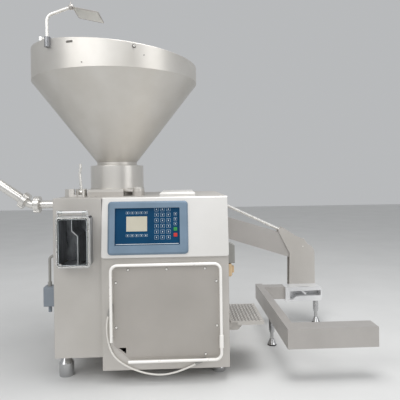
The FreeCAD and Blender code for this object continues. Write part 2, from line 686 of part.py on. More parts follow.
def make_controls():
    body = new_body("control_box")
    side = new_sketch(body, "YZ_Plane", "seam_x")
    outline(side, [
        ("face_low_y", "control_bottom"), ("control_depth", "control_bottom"),
        ("control_depth", "cabinet_top"),
        ("face_high_y + (cabinet_top - face_top)", "cabinet_top"), ("face_high_y", "face_top"),
    ])
    extrude(body, side, "cabinet_width - seam_x")
    inside = new_sketch(body, "YZ_Plane", "seam_x + control_wall")
    outline(inside, [
        ("face_low_y + control_wall", "control_bottom + control_wall"),
        ("control_depth + 1", "control_bottom + control_wall"),
        ("control_depth + 1", "cabinet_top - control_wall"),
        ("face_high_y + control_wall", "cabinet_top - control_wall"),
    ])
    extrude(body, inside, "cabinet_width - seam_x - control_wall * 2", "Pocket")
    round_edges(body, "control_corner", edges_along(AXIS_Y, lambda p: p.z < s.control_bottom + 1))
    round_edges(body, "control_edge", lambda edge: edge.BoundBox.XLength < 0.1 and edge.BoundBox.ZLength > 250
                and edge.BoundBox.YMin < s.face_low_y + 5)
    node("control_box", body)

    bezel = face_plate("bezel", "bezel_width", "bezel_height", "bezel_thickness", "bezel_corner")
    window = new_sketch(bezel, "XY_Plane", "-1")
    rectangle(window, "pane_left - bezel_left", "pane_low - bezel_low", "pane_left - bezel_left + pane_width",
              "pane_low - bezel_low + pane_height")
    extrude(bezel, window, "bezel_thickness + 2", "Pocket")
    round_edges(bezel, "bezel_thickness * 0.7", lambda edge: edge.BoundBox.ZMin > s.bezel_thickness - 0.01
                and (edge.BoundBox.Center.x < 5 or edge.BoundBox.Center.x > s.bezel_width - 5
                     or edge.BoundBox.Center.y < 5 or edge.BoundBox.Center.y > s.bezel_height - 5), "Chamfer")
    node("bezel", on_face(bezel, "bezel_left", "bezel_low", "0"))

    pane = face_plate("keypad_plate", "pane_width", "pane_height", "pane_thickness", "bezel_corner / 4")
    cut_out = new_sketch(pane, "XY_Plane", "pane_thickness - screen_thickness")
    rectangle(cut_out, "screen_left - pane_left", "screen_low - pane_low",
              "screen_left - pane_left + screen_width",
              "screen_low - pane_low + screen_height")
    for low in ("green_low", "red_low"):
        rectangle(cut_out, "key_left - pane_left - fit", f"{low} - pane_low - fit",
                  "key_left - pane_left + key_side + fit", f"{low} - pane_low + key_side + fit")
    extrude(pane, cut_out, "screen_thickness + 1", "Pocket")
    node("keypad_plate", on_face(pane, "pane_left", "pane_low", "0"))

    screen = face_plate("screen", "screen_width", "screen_height", "screen_thickness", "screen_thickness")
    node("screen", on_face(screen, "screen_left", "screen_low", "pane_thickness - screen_thickness"))

    for label, low in (("start_key", "green_low"), ("stop_key", "red_low")):
        key = face_plate(label, "key_side", "key_side", "key_height", "key_height")
        node(label,
             on_face(key, "key_left", low, "pane_thickness - screen_thickness + key_travel + seat / 3"))


# Guard rod and knee lever in front of the cover panel

sizes(
    rod_radius=8, rod_left=319, rod_right=920, rod_top=657, rod_low=130, rod_bend=36, rod_standoff=30,
    rod_left_end=240, rod_right_end=263, lever_end=410, stud_radius=6, socket_radius=11.5, socket_low=194,
    lever_top=240,
)


def make_rods():
    y = s.drive_front - s.rod_standoff
    frame = bent_rod([
        V(s.rod_left, y, s.rod_left_end), V(s.rod_left, y, s.rod_top), V(s.rod_right, y, s.rod_top),
        V(s.rod_right, y, s.rod_right_end),
    ], s.rod_bend, s.rod_radius)
    studs = []
    for x, z in ((s.rod_left, s.rod_left_end + 3 * s.rod_radius), (s.rod_left, s.rod_top - 2 * s.rod_bend),
                 (s.rod_right, s.rod_top - 2 * s.rod_bend),
                 (s.rod_right, s.rod_right_end + 3 * s.rod_radius)):
        studs.append(tube(V(x, y, z), V(x, s.drive_front, z), s.stud_radius))
    node("guard_rod", solid(frame.multiFuse(studs)))

    lever = bent_rod([V(s.rod_right, y, s.lever_top), V(s.rod_right, y, s.rod_low),
                      V(s.lever_end, y, s.rod_low)],
                     s.rod_bend, s.rod_radius)
    node("knee_lever", solid(lever))

    socket = fuse(
        cylinder("rod_right", "drive_front - rod_standoff", "socket_low", "socket_radius",
                 "rod_right_end - socket_low"),
        box("rod_right - stud_radius", "drive_front - rod_standoff", "lever_top - stud_radius",
            "rod_right + stud_radius",
            "drive_front", "rod_right_end"),
    )
    bore = cylinder("rod_right", "drive_front - rod_standoff", "socket_low", "rod_radius + fit",
                    "lever_top - socket_low + seat")
    node("lever_socket", cut(socket, bore))


# Slack white cable in front of the housing, between two glands behind the rods

CABLE_POINTS = [
    (313, 418), (298, 372), (291, 312), (296, 255), (308, 200), (334, 150), (381, 111), (445, 78),
    (520, 54), (598, 47), (672, 60), (742, 86), (782, 104), (812, 118),
]
sizes(cable_radius=5, cable_level=11, gland_radius=6.5, gland_length=20)


def cable_path():
    """Straight runs joined by tangent arcs, each as large as its two runs allow."""
    y = s.drive_front - s.cable_level
    points = [V(x, y, z) for x, z in CABLE_POINTS]
    edges = []
    start = points[0]
    for i in range(1, len(points) - 1):
        corner = points[i]
        into = corner - points[i - 1]
        out = points[i + 1] - corner
        shorter = min(into.Length, out.Length)
        half = into.getAngle(out) / 2
        radius = 0.45 * shorter / math.tan(half)
        print(f"cable bend {i}: radius {radius:.0f} mm")
        back = (into * -1).normalize()
        ahead = V(out).normalize()
        first = corner + back * (0.45 * shorter)
        last = corner + ahead * (0.45 * shorter)
        middle = corner + (back + ahead).normalize() * (radius / math.cos(half) - radius)
        edges.append(Part.LineSegment(start, first).toShape())
        edges.append(Part.Arc(first, middle, last).toShape())
        start = last
    edges.append(Part.LineSegment(start, points[-1]).toShape())
    return Part.Wire(edges), points


def make_cable():
    path, points = cable_path()
    ring = Part.Wire([Part.Circle(points[0], points[1] - points[0], s.cable_radius).toShape()])
    cable = path.makePipeShell([ring], True, True)
    section = math.pi * s.cable_radius ** 2 * path.Length
    print(f"cable length {path.Length:.0f} mm, volume {cable.Volume:.0f}, section times length {section:.0f}")
    node("control_cable", solid(cable))
    glands = []
    for end, inner in ((points[0], points[1]), (points[-1], points[-2])):
        away = (end - inner).normalize()
        barrel = tube(end, end + away * s.gland_length, s.gland_radius)
        foot = Part.makeBox(2 * s.gland_radius, s.cable_level, 2 * s.gland_radius,
                            end + away * s.gland_length - V(s.gland_radius, 0, s.gland_radius))
        glands.append(solid(barrel.fuse(foot)))
    node("cable_glands", group(glands))


# Hopper: cone and band with a slanting rim, on a jacketed neck that swings about a pin
# The flange passes over the hatch as it swings, and the feed spiral rests on the neck's ledge meanwhile

sizes(
    hopper_radius=HOPPER_RADIUS, hopper_sheet=3, cone_radius=128, cone_low=1235, band_low=BAND_LOW,
    rim_left=BAND_LOW + RIM_RISE_LEFT, rim_right=BAND_LOW + RIM_RISE_RIGHT,
    neck_radius=170, neck_top=1214, neck_sheet=4, seat_rise=25.6, flange_top=1066, flange_radius=175,
    flange_left=148, flange_right=361, flange_front=222, pin_x=444.5, pin_y=287, pin_radius=15, ear_radius=36,
    pin_head=10, pin_head_radius=22, ledge_radius=104, ledge_height=5.6,
    spiral_gap=0.5, spiral_radius=116, spiral_shaft_radius=26, spiral_shaft_top=1420, spiral_thickness=8,
    spiral_pitch=120, spiral_height=135, arm_radius=11, arm_length=400,
)
sizes(seat_top=s.cabinet_top + s.seat_rise, flange_low=s.cabinet_top + s.seat_rise + s.seat)
sizes(hub_top=s.flange_low - s.spiral_gap, spiral_low=s.flange_low + s.ledge_height + s.spiral_gap)


def make_hopper():
    neck = new_body("hopper_neck")
    plan = new_sketch(neck, "XY_Plane", "flange_low")
    rectangle(plan, "flange_left", "flange_front", "flange_right", "hopper_y")
    extrude(neck, plan, "flange_top - flange_low")
    disc = new_sketch(neck, "XY_Plane", "flange_low")
    circle(disc, "hopper_x", "hopper_y", "flange_radius")
    extrude(neck, disc, "flange_top - flange_low")
    link = new_sketch(neck, "XY_Plane", "flange_low")
    outline(link, [("hopper_x", "pin_y"), ("pin_x", "pin_y - ear_radius * 0.7"),
                   ("pin_x + ear_radius * 0.7", "pin_y"),
                   ("hopper_x + flange_radius * 0.9", "hopper_y")])
    extrude(neck, link, "(flange_top - flange_low) * 0.8")
    ear = new_sketch(neck, "XY_Plane", "flange_low")
    circle(ear, "pin_x", "pin_y", "ear_radius")
    extrude(neck, ear, "flange_top - flange_low")
    jacket = new_sketch(neck, "XY_Plane", "flange_top")
    circle(jacket, "hopper_x", "hopper_y", "neck_radius")
    extrude(neck, jacket, "neck_top - flange_top")
    hollow = new_sketch(neck, "XY_Plane", "flange_low - 1")
    circle(hollow, "hopper_x", "hopper_y", "neck_radius - neck_sheet")
    circle(hollow, "hopper_x", "hopper_y", "cone_radius + neck_sheet")
    extrude(neck, hollow, "neck_top - flange_low + 1 - neck_sheet * 2", "Pocket")
    throat = new_sketch(neck, "XY_Plane", "flange_low + ledge_height")
    circle(throat, "hopper_x", "hopper_y", "throat_radius")
    extrude(neck, throat, "neck_top", "Pocket")
    outlet = new_sketch(neck, "XY_Plane", "flange_low - 1")
    circle(outlet, "hopper_x", "hopper_y", "ledge_radius")
    extrude(neck, outlet, "ledge_height + 2", "Pocket")
    pin_bore = new_sketch(neck, "XY_Plane", "flange_low - 1")
    circle(pin_bore, "pin_x", "pin_y", "pin_radius + fit")
    extrude(neck, pin_bore, "flange_top", "Pocket")
    round_edges(neck, "neck_sheet * 1.5", lambda edge: isinstance(edge.Curve, Part.Circle)
                and abs(edge.Curve.Radius - s.neck_radius) < 0.1 and edge.BoundBox.ZMin > s.neck_top - 1)
    node("hopper_neck", neck)

    pin = fuse(cylinder("pin_x", "pin_y", "seat_top", "pin_radius",
                        "flange_top + seat + pin_head - seat_top"),
               cylinder("pin_x", "pin_y", "flange_top + seat", "pin_head_radius", "pin_head"))
    node("hopper_pin", pin)

    bowl = new_body("hopper_bowl")
    sheet_line = new_sketch(bowl, "XZ_Plane")
    outline(sheet_line, [
        ("cone_radius - hopper_sheet", "neck_top"), ("cone_radius", "neck_top"), ("cone_radius", "cone_low"),
        ("hopper_radius", "band_low"), ("hopper_radius", "rim_left + 30"),
        ("hopper_radius - hopper_sheet", "rim_left + 30"),
        ("hopper_radius - hopper_sheet", "band_low + hopper_sheet / 2"),
        ("cone_radius - hopper_sheet", "cone_low + hopper_sheet"),
    ])
    revolve(bowl, sheet_line)
    rim_cut = new_sketch(bowl, "XZ_Plane", "-hopper_radius - 1")
    outline(rim_cut, [
        ("-hopper_radius - 10", "rim_left - 5 * (rim_right - rim_left) / hopper_radius"),
        ("hopper_radius + 10", "rim_right + 5 * (rim_right - rim_left) / hopper_radius"),
        ("hopper_radius + 10", "rim_left + 60"), ("-hopper_radius - 10", "rim_left + 60"),
    ])
    extrude(bowl, rim_cut, "2 * hopper_radius + 2", "Pocket")
    place(bowl, "hopper_x", "hopper_y", "0")
    node("hopper_bowl", bowl)


def make_feed_spiral():
    body = new_body("spiral_flight")
    plan = new_sketch(body, "XY_Plane", "hub_top + spiral_gap")
    circle(plan, "0", "0", "spiral_shaft_radius")
    extrude(body, plan, "spiral_shaft_top - hub_top - spiral_gap")
    blade = new_sketch(body, "XZ_Plane")
    rectangle(blade, "spiral_shaft_radius - 6", "spiral_low", "spiral_radius",
              "spiral_low + spiral_thickness")
    flight = body.newObject("PartDesign::AdditiveHelix", "flight")
    flight.Profile = blade
    flight.ReferenceAxis = (blade, ["V_Axis"])
    flight.Mode = 0
    bind(flight, Pitch="spiral_pitch", Height="spiral_height")
    slope = V(s.hopper_radius - s.cone_radius, 0, s.band_low - s.cone_low).normalize()
    low = V(s.cone_radius, 0, s.cone_low) + V(-slope.z, 0, slope.x) * (2 * s.arm_radius)
    scraper = bent_rod([V(0, 0, s.spiral_shaft_top - 2 * s.arm_radius), low + slope * s.arm_length, low],
                       2 * s.arm_radius, s.arm_radius)
    brace = tube(V(0, 0, low.z + s.arm_radius), low + slope * s.arm_radius, s.arm_radius)
    whole = fuse(body, solid(scraper), solid(brace))
    place(whole, "hopper_x", "hopper_y", "0")
    node("feed_spiral", whole)


# Clamp that locks the hopper neck, with its S-shaped lever

sizes(
    clamp_x=106, clamp_y=250, clamp_radius=33, clamp_height=46, boss_x=38, boss_radius=31, lever_radius=8,
    clamp_slot=22, clamp_slot_low=12, clamp_axis=28, hub_radius=15, hub_width=21, clamp_pin=5, lever_rise=170,
)
FACETS = 6


def make_clamp():
    turns = [2 * math.pi * (i + 0.5) / FACETS for i in range(FACETS)]
    sides = [V(math.cos(turn), math.sin(turn), 0) * s.boss_radius for turn in turns]
    prism = Part.Face(Part.makePolygon(sides + sides[:1])).extrude(V(0, 0, s.clamp_height))
    prism.translate(V(s.boss_x, s.clamp_y, s.cabinet_top))
    drum = cylinder("clamp_x", "clamp_y", "cabinet_top", "clamp_radius", "clamp_height")
    slot = box("clamp_x - clamp_slot / 2", "clamp_y - clamp_radius - 1", "cabinet_top + clamp_slot_low",
               "clamp_x + clamp_slot / 2", "clamp_y + clamp_radius + 1", "cabinet_top + clamp_height + 1")
    bridge = box("boss_x", "clamp_y - clamp_slot", "cabinet_top", "clamp_x - clamp_radius / 2",
                 "clamp_y + clamp_slot",
                 "cabinet_top + clamp_slot_low")
    pin = cylinder("clamp_x - clamp_radius * 0.8", "clamp_y", "cabinet_top + clamp_axis", "clamp_pin",
                   "clamp_radius * 1.6", "x")
    node("clamp_base", fuse(cut(drum, slot), solid(prism), bridge, pin))

    axis = V(s.clamp_x, s.clamp_y, s.cabinet_top + s.clamp_axis)
    hub = Part.makeCylinder(s.hub_radius, s.hub_width, axis - V(s.hub_width / 2, 0, 0), AXIS_X)
    rise = s.lever_rise
    arm = bent_rod([axis, axis + V(-4, 0, rise * 0.35), axis + V(-9, 0, rise * 0.65),
                    axis + V(-4, 0, rise * 0.85), axis + V(-5, 0, rise)], 40, s.lever_radius)
    eye = Part.makeCylinder(s.clamp_pin + s.fit, s.hub_width + 2, axis - V(s.hub_width / 2 + 1, 0, 0), AXIS_X)
    lever = arm.common(Part.makeBox(200, 200, 400, axis + V(-100, -100, s.hub_radius * 0.8)))
    node("clamp_lever", solid(hub.fuse(lever).cut(eye)))


# Inspection mirror on a post at the hopper rim

sizes(
    mirror_post_radius=9, mirror_rise=128, mirror_reach=134, mirror_reach_rise=49, post_bend=44,
    bracket_radius=15,
    bracket_height=56, bracket_gap=3, thumb_radius=5, thumb_length=34, thumb_wing=10, thumb_wing_width=5,
    mirror_left=16, mirror_right=180, mirror_near=-12, mirror_far=86, mirror_sheet=4, ball_radius=12,
    socket_wall=4, clamp_stud=3.5, clamp_stud_rise=14,
    glass_inset=4, glass_thickness=1.5, mirror_corner=8,
)
POST_ANGLE = math.radians(232.96)
SLANT = (s.rim_right - s.rim_left) / (2 * s.hopper_radius)
MIRROR_TURN = FreeCAD.Rotation(-17, 16, -20)
sizes(
    post_x=s.hopper_x + (s.hopper_radius + s.mirror_post_radius + s.bracket_gap) * math.cos(POST_ANGLE),
    post_y=s.hopper_y + (s.hopper_radius + s.mirror_post_radius + s.bracket_gap) * math.sin(POST_ANGLE),
)
sizes(post_rim=s.rim_left + (s.post_x - s.hopper_x + s.hopper_radius) * SLANT)
sizes(
    bracket_low=s.post_rim - 0.85 * s.bracket_height, thumb_z=s.post_rim,
    ball_x=s.post_x + s.mirror_reach, ball_z=s.post_rim + s.mirror_rise + s.mirror_reach_rise,
)


def make_mirror():
    foot = V(s.post_x, s.post_y, s.bracket_low)
    towards = V(s.hopper_x - s.post_x, s.hopper_y - s.post_y, 0)
    saddle = Part.makeBox(s.bracket_radius + s.bracket_gap, 2 * s.bracket_radius, s.bracket_height,
                          V(0, -s.bracket_radius, 0))
    saddle.rotate(V(), AXIS_Z, math.degrees(math.atan2(towards.y, towards.x)))
    saddle.translate(foot)
    barrel = Part.makeCylinder(s.bracket_radius, s.bracket_height, foot)
    band = Part.makeCylinder(s.hopper_radius, s.hopper_radius, V(s.hopper_x, s.hopper_y, s.bracket_low - 1))
    bore = Part.makeCylinder(s.mirror_post_radius + s.fit, s.bracket_height, foot + V(0, 0, s.post_bend / 4))
    thumb_start = V(s.post_x, s.post_y, s.thumb_z)
    thumb_bore = tube(thumb_start, thumb_start - V(2 * s.bracket_radius, 0, 0), s.thumb_radius + s.fit)
    node("mirror_bracket", solid(barrel.fuse(saddle).cut(band).cut(bore).cut(thumb_bore)))

    tip = thumb_start - V(s.mirror_post_radius + s.fit, 0, 0)
    wing_start = tip - V(s.thumb_length * 0.6, 0, 0)
    wing = Part.makeBox(s.thumb_length * 0.4, s.thumb_wing_width, 2 * s.thumb_wing,
                        wing_start - V(s.thumb_length * 0.4, s.thumb_wing_width / 2, s.thumb_wing))
    node("mirror_screw", solid(tube(tip, wing_start - V(s.thumb_radius, 0, 0), s.thumb_radius).fuse(wing)))

    elbow = V(s.post_x, s.post_y, s.post_rim + s.mirror_rise)
    ball = V(s.ball_x, s.post_y, s.ball_z)
    post = bent_rod([foot + V(0, 0, s.post_bend / 4), elbow, ball], s.post_bend, s.mirror_post_radius)
    node("mirror_post", solid(post.fuse(Part.makeSphere(s.ball_radius, ball))))

    thickness = s.mirror_sheet
    plate = Part.makeBox(s.mirror_right - s.mirror_left, s.mirror_far - s.mirror_near, thickness,
                         V(s.mirror_left, s.mirror_near, -1.5 * thickness))
    plate = plate.makeFillet(s.mirror_corner, [edge for edge in plate.Edges if edges_along(AXIS_Z)(edge)])
    inset = s.glass_inset
    glass = Part.makeBox(s.mirror_right - s.mirror_left - 2 * inset, s.mirror_far - s.mirror_near - 2 * inset,
                         s.glass_thickness, V(s.mirror_left + inset, s.mirror_near + inset, -1.5 * thickness))
    lug = Part.makeBox(s.mirror_left + thickness, 2 * s.ball_radius, thickness,
                       V(0, -s.ball_radius, -thickness))
    turn = FreeCAD.Placement(ball, MIRROR_TURN).toMatrix()
    arm_end = ball - (ball - elbow).normalize() * (2 * s.ball_radius)
    neck = tube(ball, arm_end, s.ball_radius - s.fit * 10)
    cavity = Part.makeSphere(s.ball_radius + s.fit, ball).fuse(neck)
    back = plate.cut(glass).fuse(lug).transformed(turn)
    cup_radius = s.ball_radius + s.socket_wall
    stud = tube(ball, ball + V(0, 0, cup_radius + s.clamp_stud_rise), s.clamp_stud)
    cup = Part.makeSphere(cup_radius, ball).fuse(stud)
    node("mirror_plate", solid(back.fuse(cup).cut(cavity)))
    node("mirror_glass", solid(glass.transformed(turn)))


# Outlet: tube, two ring nuts, elbow and the inclined filling pipe

sizes(
    tube_radius=27, tube_wall=2, port_depth=14, outlet_end=-224.5, nut_radius=55, nut_width=39, nut_notch=9,
    nut_chamfer=4, elbow_first=44.2, elbow_second=47.7, elbow_bend=60, pipe_radius=32, pipe_wall=2,
    pipe_slope=34.5, pipe_length=262, ferrule_radius=39, ferrule_width=14, nut_stop=6,
)
NOTCHES = 4
SLOPE = V(-math.cos(math.radians(s.pipe_slope)), 0, math.sin(math.radians(s.pipe_slope)))
TUBE_END = V(s.outlet_end, s.hopper_y, s.outlet_z)
ELBOW_END = TUBE_END - V(s.elbow_first, 0, 0) + SLOPE * s.elbow_second
PIPE_END = ELBOW_END + SLOPE * s.pipe_length


def ring_nut(centre, along, bore_before, bore_after):
    """A notched ring nut about a joint in the pipework."""
    start = centre - along * (s.nut_width / 2)
    ring = tube(start, start + along * s.nut_width, s.nut_radius)
    rims = [edge for edge in ring.Edges if isinstance(edge.Curve, Part.Circle)]
    ring = ring.makeChamfer(s.nut_chamfer, rims)
    cuts = [tube(start, centre, bore_before + s.fit),
            tube(centre, start + along * s.nut_width, bore_after + s.fit)]
    side = V(0, 1, 0)
    up = side.cross(along)
    for i in range(NOTCHES):
        turn = math.radians((i + 0.5) * 360 / NOTCHES)
        rim = start + (side * math.cos(turn) + up * math.sin(turn)) * s.nut_radius
        cuts.append(tube(rim, rim + along * s.nut_width, s.nut_notch))
    return ring.cut(cuts)


def make_outlet():
    length = "hopper_x - pump_radius + port_depth - outlet_end"
    outside = cylinder("outlet_end", "hopper_y", "outlet_z", "tube_radius", length, "x")
    inside = cylinder("outlet_end - 1", "hopper_y", "outlet_z", "tube_radius - tube_wall", f"{length} + 2",
                      "x")
    node("outlet_tube", cut(outside, inside))

    route = [TUBE_END, TUBE_END - V(s.elbow_first, 0, 0), ELBOW_END]
    elbow = bent_rod(route, s.elbow_bend, s.tube_radius)
    node("outlet_elbow", solid(elbow.cut(bent_rod(route, s.elbow_bend, s.tube_radius - s.tube_wall))))

    bore = s.pipe_radius - s.pipe_wall
    pipe = tube(ELBOW_END, PIPE_END, s.pipe_radius, bore)
    stop = tube(ELBOW_END, ELBOW_END + SLOPE * s.nut_stop, s.pipe_radius, s.tube_radius - s.tube_wall)
    ferrule = tube(PIPE_END - SLOPE * s.ferrule_width, PIPE_END, s.ferrule_radius, bore)
    node("filling_pipe", solid(pipe.fuse([stop, ferrule])))

    nuts = [ring_nut(TUBE_END, V(-1, 0, 0), s.tube_radius, s.tube_radius),
            ring_nut(ELBOW_END, SLOPE, s.tube_radius, s.pipe_radius)]
    node("union_nuts", group([solid(nut) for nut in nuts]))


# Main switch on the right wall, connector box and conduit on the left wall

sizes(
    side_front=110, side_back=190, isolator_low=548, isolator_high=622, isolator_depth=32, isolator_taper=5,
    hood_depth=49, hood_low=626, hood_high=753, hood_slant=24, box_corner=7, knob_radius=23, knob_disc=6,
    knob_bar=13, knob_length=40, knob_shaft=5, knob_shaft_depth=20, connector_depth=88, connector_low=398,
    connector_high=510, conduit_x=-61, conduit_y=150, conduit_high=684, conduit_radius=8, conduit_bend=22,
    gland_nut_radius=12, gland_nut_height=24, plug_radius=10, plug_length=38,
)


def wall_box(label, start, low, high, depth):
    """A box on a side wall, with rounded edges along x."""
    body = new_body(label)
    side = new_sketch(body, "YZ_Plane", start)
    rectangle(side, "side_front", low, "side_back", high)
    extrude(body, side, depth)
    round_edges(body, "box_corner", edges_along(AXIS_X))
    return body


def make_side_boxes():
    housing = wall_box("isolator_housing", "cabinet_width", "isolator_low", "isolator_high", "isolator_depth")
    round_edges(housing, "isolator_taper",
                lambda edge: edge.BoundBox.XMin > s.cabinet_width + s.isolator_depth - 0.01,
                "Chamfer")
    shaft_hole = new_sketch(housing, "YZ_Plane", "cabinet_width + isolator_depth - knob_shaft_depth")
    circle(shaft_hole, "conduit_y", "(isolator_low + isolator_high) / 2", "knob_shaft + fit")
    extrude(housing, shaft_hole, "knob_shaft_depth + 1", "Pocket")
    node("isolator_housing", housing)
    hood = wall_box("isolator_hood", "cabinet_width", "hood_low", "hood_high", "hood_depth")
    slant = new_sketch(hood, "XZ_Plane", "side_front - 1")
    outline(slant, [("cabinet_width", "hood_high"), ("cabinet_width + hood_depth + 1",
                                                     "hood_high - hood_slant"),
                    ("cabinet_width + hood_depth + 1", "hood_high + 1"), ("cabinet_width", "hood_high + 1")])
    extrude(hood, slant, "side_back - side_front + 2", "Pocket")
    node("isolator_hood", hood)
    face = "cabinet_width + isolator_depth"
    middle = "(isolator_low + isolator_high) / 2"
    node("isolator_handle", fuse(
        cylinder(f"{face} + seat", "conduit_y", middle, "knob_radius", "knob_disc", "x"),
        cylinder(f"{face} - knob_shaft_depth + seat", "conduit_y", middle, "knob_shaft",
                 "knob_shaft_depth + knob_disc",
                 "x"),
        box(f"{face} + seat", "conduit_y - knob_bar / 2", f"{middle} - knob_length / 2",
            f"{face} + seat + knob_disc * 2.5",
            "conduit_y + knob_bar / 2", f"{middle} + knob_length / 2"),
    ))
    connector = wall_box("connector_box", "-connector_depth", "connector_low", "connector_high",
                         "connector_depth")
    plug = new_sketch(connector, "XY_Plane", "connector_low - plug_length")
    circle(plug, "conduit_x", "conduit_y", "plug_radius")
    extrude(connector, plug, "plug_length + 1")
    node("connector_box", connector)
    pipe = bent_rod([V(s.conduit_x, s.conduit_y, s.connector_high),
                     V(s.conduit_x, s.conduit_y, s.conduit_high),
                     V(s.wall, s.conduit_y, s.conduit_high)], s.conduit_bend, s.conduit_radius)
    gland = cylinder("conduit_x", "conduit_y", "connector_high", "gland_nut_radius", "gland_nut_height")
    node("conduit", fuse(solid(pipe), gland))


# Folding step on the right wall

sizes(
    step_pin_x=990, step_pin_z=288, step_pin_radius=5, step_front=50, step_back=415, step_outer=1175,
    step_inner=983, step_top=303, step_sheet=4, step_lip=20, gusset_thickness=5, gusset_inset=30,
    lug_thickness=6, bracket_sheet=4, step_lug_radius=9.5, wall_plate_low=226, wall_plate_high=276,
    step_heel_z=240,
)


def make_step():
    bracket = new_body("step_bracket")
    plate = new_sketch(bracket, "YZ_Plane", "cabinet_width")
    rectangle(plate, "step_front", "wall_plate_low", "step_back", "wall_plate_high")
    extrude(bracket, plate, "bracket_sheet")
    lug_places = ("step_front + step_lip", "step_back - step_lip - lug_thickness")
    for place_y in lug_places:
        lug = new_sketch(bracket, "XZ_Plane", place_y)
        outline(lug, [
            ("cabinet_width", "step_pin_z - step_lip * 1.5"), ("step_pin_x", "step_pin_z - step_lip"),
            ("step_pin_x", "step_pin_z"),
            ("step_pin_x - step_lug_radius * 0.8", "step_pin_z - step_pin_radius * 1.4"),
            ("cabinet_width", "wall_plate_high"),
        ])
        extrude(bracket, lug, "lug_thickness")
        eye = new_sketch(bracket, "XZ_Plane", place_y)
        circle(eye, "step_pin_x", "step_pin_z", "step_lug_radius")
        extrude(bracket, eye, "lug_thickness")
    pin = new_sketch(bracket, "XZ_Plane", "step_front + step_lip")
    circle(pin, "step_pin_x", "step_pin_z", "step_pin_radius")
    extrude(bracket, pin, "step_back - step_front - step_lip * 2")
    node("step_bracket", bracket)

    step = new_body("step_platform")
    tread = new_sketch(step, "XY_Plane", "step_top - step_sheet")
    rectangle(tread, "step_inner", "step_front", "step_outer", "step_back")
    extrude(step, tread, "step_sheet")
    for low_y, high_y in (("step_front", "step_front + step_sheet"), ("step_back - step_sheet", "step_back")):
        lip = new_sketch(step, "XY_Plane", "step_top - step_lip")
        rectangle(lip, "step_inner + step_lip * 2", low_y, "step_outer", high_y)
        extrude(step, lip, "step_lip")
    end_lip = new_sketch(step, "XY_Plane", "step_top - step_lip")
    rectangle(end_lip, "step_outer - step_sheet", "step_front", "step_outer", "step_back")
    extrude(step, end_lip, "step_lip")
    heel_x = "cabinet_width + bracket_sheet + seat / 3"
    for place_y in ("step_front + step_lip + gusset_inset",
                    "step_back - step_lip - gusset_inset - gusset_thickness"):
        gusset = new_sketch(step, "XZ_Plane", place_y)
        outline(gusset, [
            ("step_inner", "step_top - step_sheet / 2"), ("step_pin_x - 2 * step_pin_radius", "step_pin_z"),
            ("step_pin_x - 2 * step_pin_radius", "wall_plate_high"), (heel_x, "step_heel_z + step_lip"),
            (heel_x, "step_heel_z"), ("step_pin_x + step_lip * 2", "step_heel_z"),
            ("step_pin_x + step_lip * 4", "step_top - step_lip"),
            ("step_pin_x + step_lip * 5", "step_top - step_sheet / 2"),
        ])
        extrude(step, gusset, "gusset_thickness")
    bore = new_sketch(step, "XZ_Plane", "step_front")
    circle(bore, "step_pin_x", "step_pin_z", "step_pin_radius + fit")
    extrude(step, bore, "step_back - step_front", "Pocket")
    node("step_platform", step)


# Trolley lift: column, parallelogram of arm and tie rod, head and fork

sizes(
    arm_pin_x=1045, arm_pin_z=781, head_pin_x=1580, head_pin_z=528, rod_pin_x=955, rod_pin_z=961,
    arm_pin_radius=18, rod_pin_radius=12, end_pin_radius=10, tie_radius=11, tie_eye=20, end_eye=17,
    tie_eye_width=30, turnbuckle_radius=16, turnbuckle_length=46, turnbuckle_start=60,
    column_front=988, column_back=1080, cheek=12, spacer_left=884, spacer_right=946, spacer_low=200,
    spacer_high=900, foot_plate_left=860, foot_plate_right=970, foot_plate_thickness=12,
    arm_front=1004, arm_back=1064, arm_side=6,
    mast_front=995, mast_plate=8, mast_depth=78,
    head_left=1491, head_right=1770, head_front=880, head_low=183, head_high=288, head_corner=20,
    slot_depth=80,
    hook_x=1612, hook_z=274, hook_radius=10, hook_pin=5, hook_front=885, hook_width=12, hook_gap=2,
    notch_low_z=255, notch_left_x=1596, notch_right_x=1672,
    fork_left=1282, fork_inner=1332, fork_front=-76, fork_front_inner=39, fork_back=1000,
    fork_low=183, fork_high=293, fork_wall=4, beam_front=905, beam_back=995, beam_low=195, beam_high=287,
    fork_foot_x=1307, fork_foot_y=500, head_foot_x=1740, head_foot_y=950, sleeve_radius=20, sleeve_low=100,
    fork_stem=12, foot_nut=17, foot_nut_height=14, bell_radius=30, bell_neck=15, bell_shoulder=12,
    bell_height=34, pad_height=8,
)
sizes(fork_right=s.fork_left + FORK_LENGTH)
sizes(
    rod_end_x=s.head_pin_x + s.rod_pin_x - s.arm_pin_x,
    rod_end_z=s.head_pin_z + s.rod_pin_z - s.arm_pin_z,
    rod_y=(s.arm_front + s.arm_back) / 2,
)
COLUMN_SIDE = [
    (880, 0), (950, 0), (950, 700), (1000, 735), (1072, 745), (1075, 790), (1060, 825), (985, 990),
    (925, 990),
    (880, 940),
]
ARM_SIDE = [(1005, 672), (1560, 494), (1596, 496), (1612, 520), (1605, 552), (1540, 640), (1470, 693),
            (1005, 838)]
ARM_HOLLOW = [(1095, 560), (1520, 440), (1520, 625), (1460, 680), (1095, 795)]
MAST_SIDE = [
    (1468, 712), (1500, 731), (1614, 656), (1671, 634), (1684, 614), (1700, 595), (1728, 580), (1743, 560),
    (1750, 531), (1750, 183), (1547, 183), (1553, 528), (1468, 699),
]
MAST_HOLLOW = [
    (1440, 760), (1512, 760), (1512, 713), (1608, 647), (1662, 626), (1676, 607), (1692, 586), (1720, 570),
    (1735, 531), (1735, 170), (1440, 170),
]
HEAD_SLOT = [(1525, 195), (1548, 195), (1570, 215), (1600, 222), (1760, 222), (1760, 262), (1525, 258)]
HOOK = [(1604, 268), (1620, 268), (1652, 238), (1643, 228), (1622, 246), (1612, 262)]


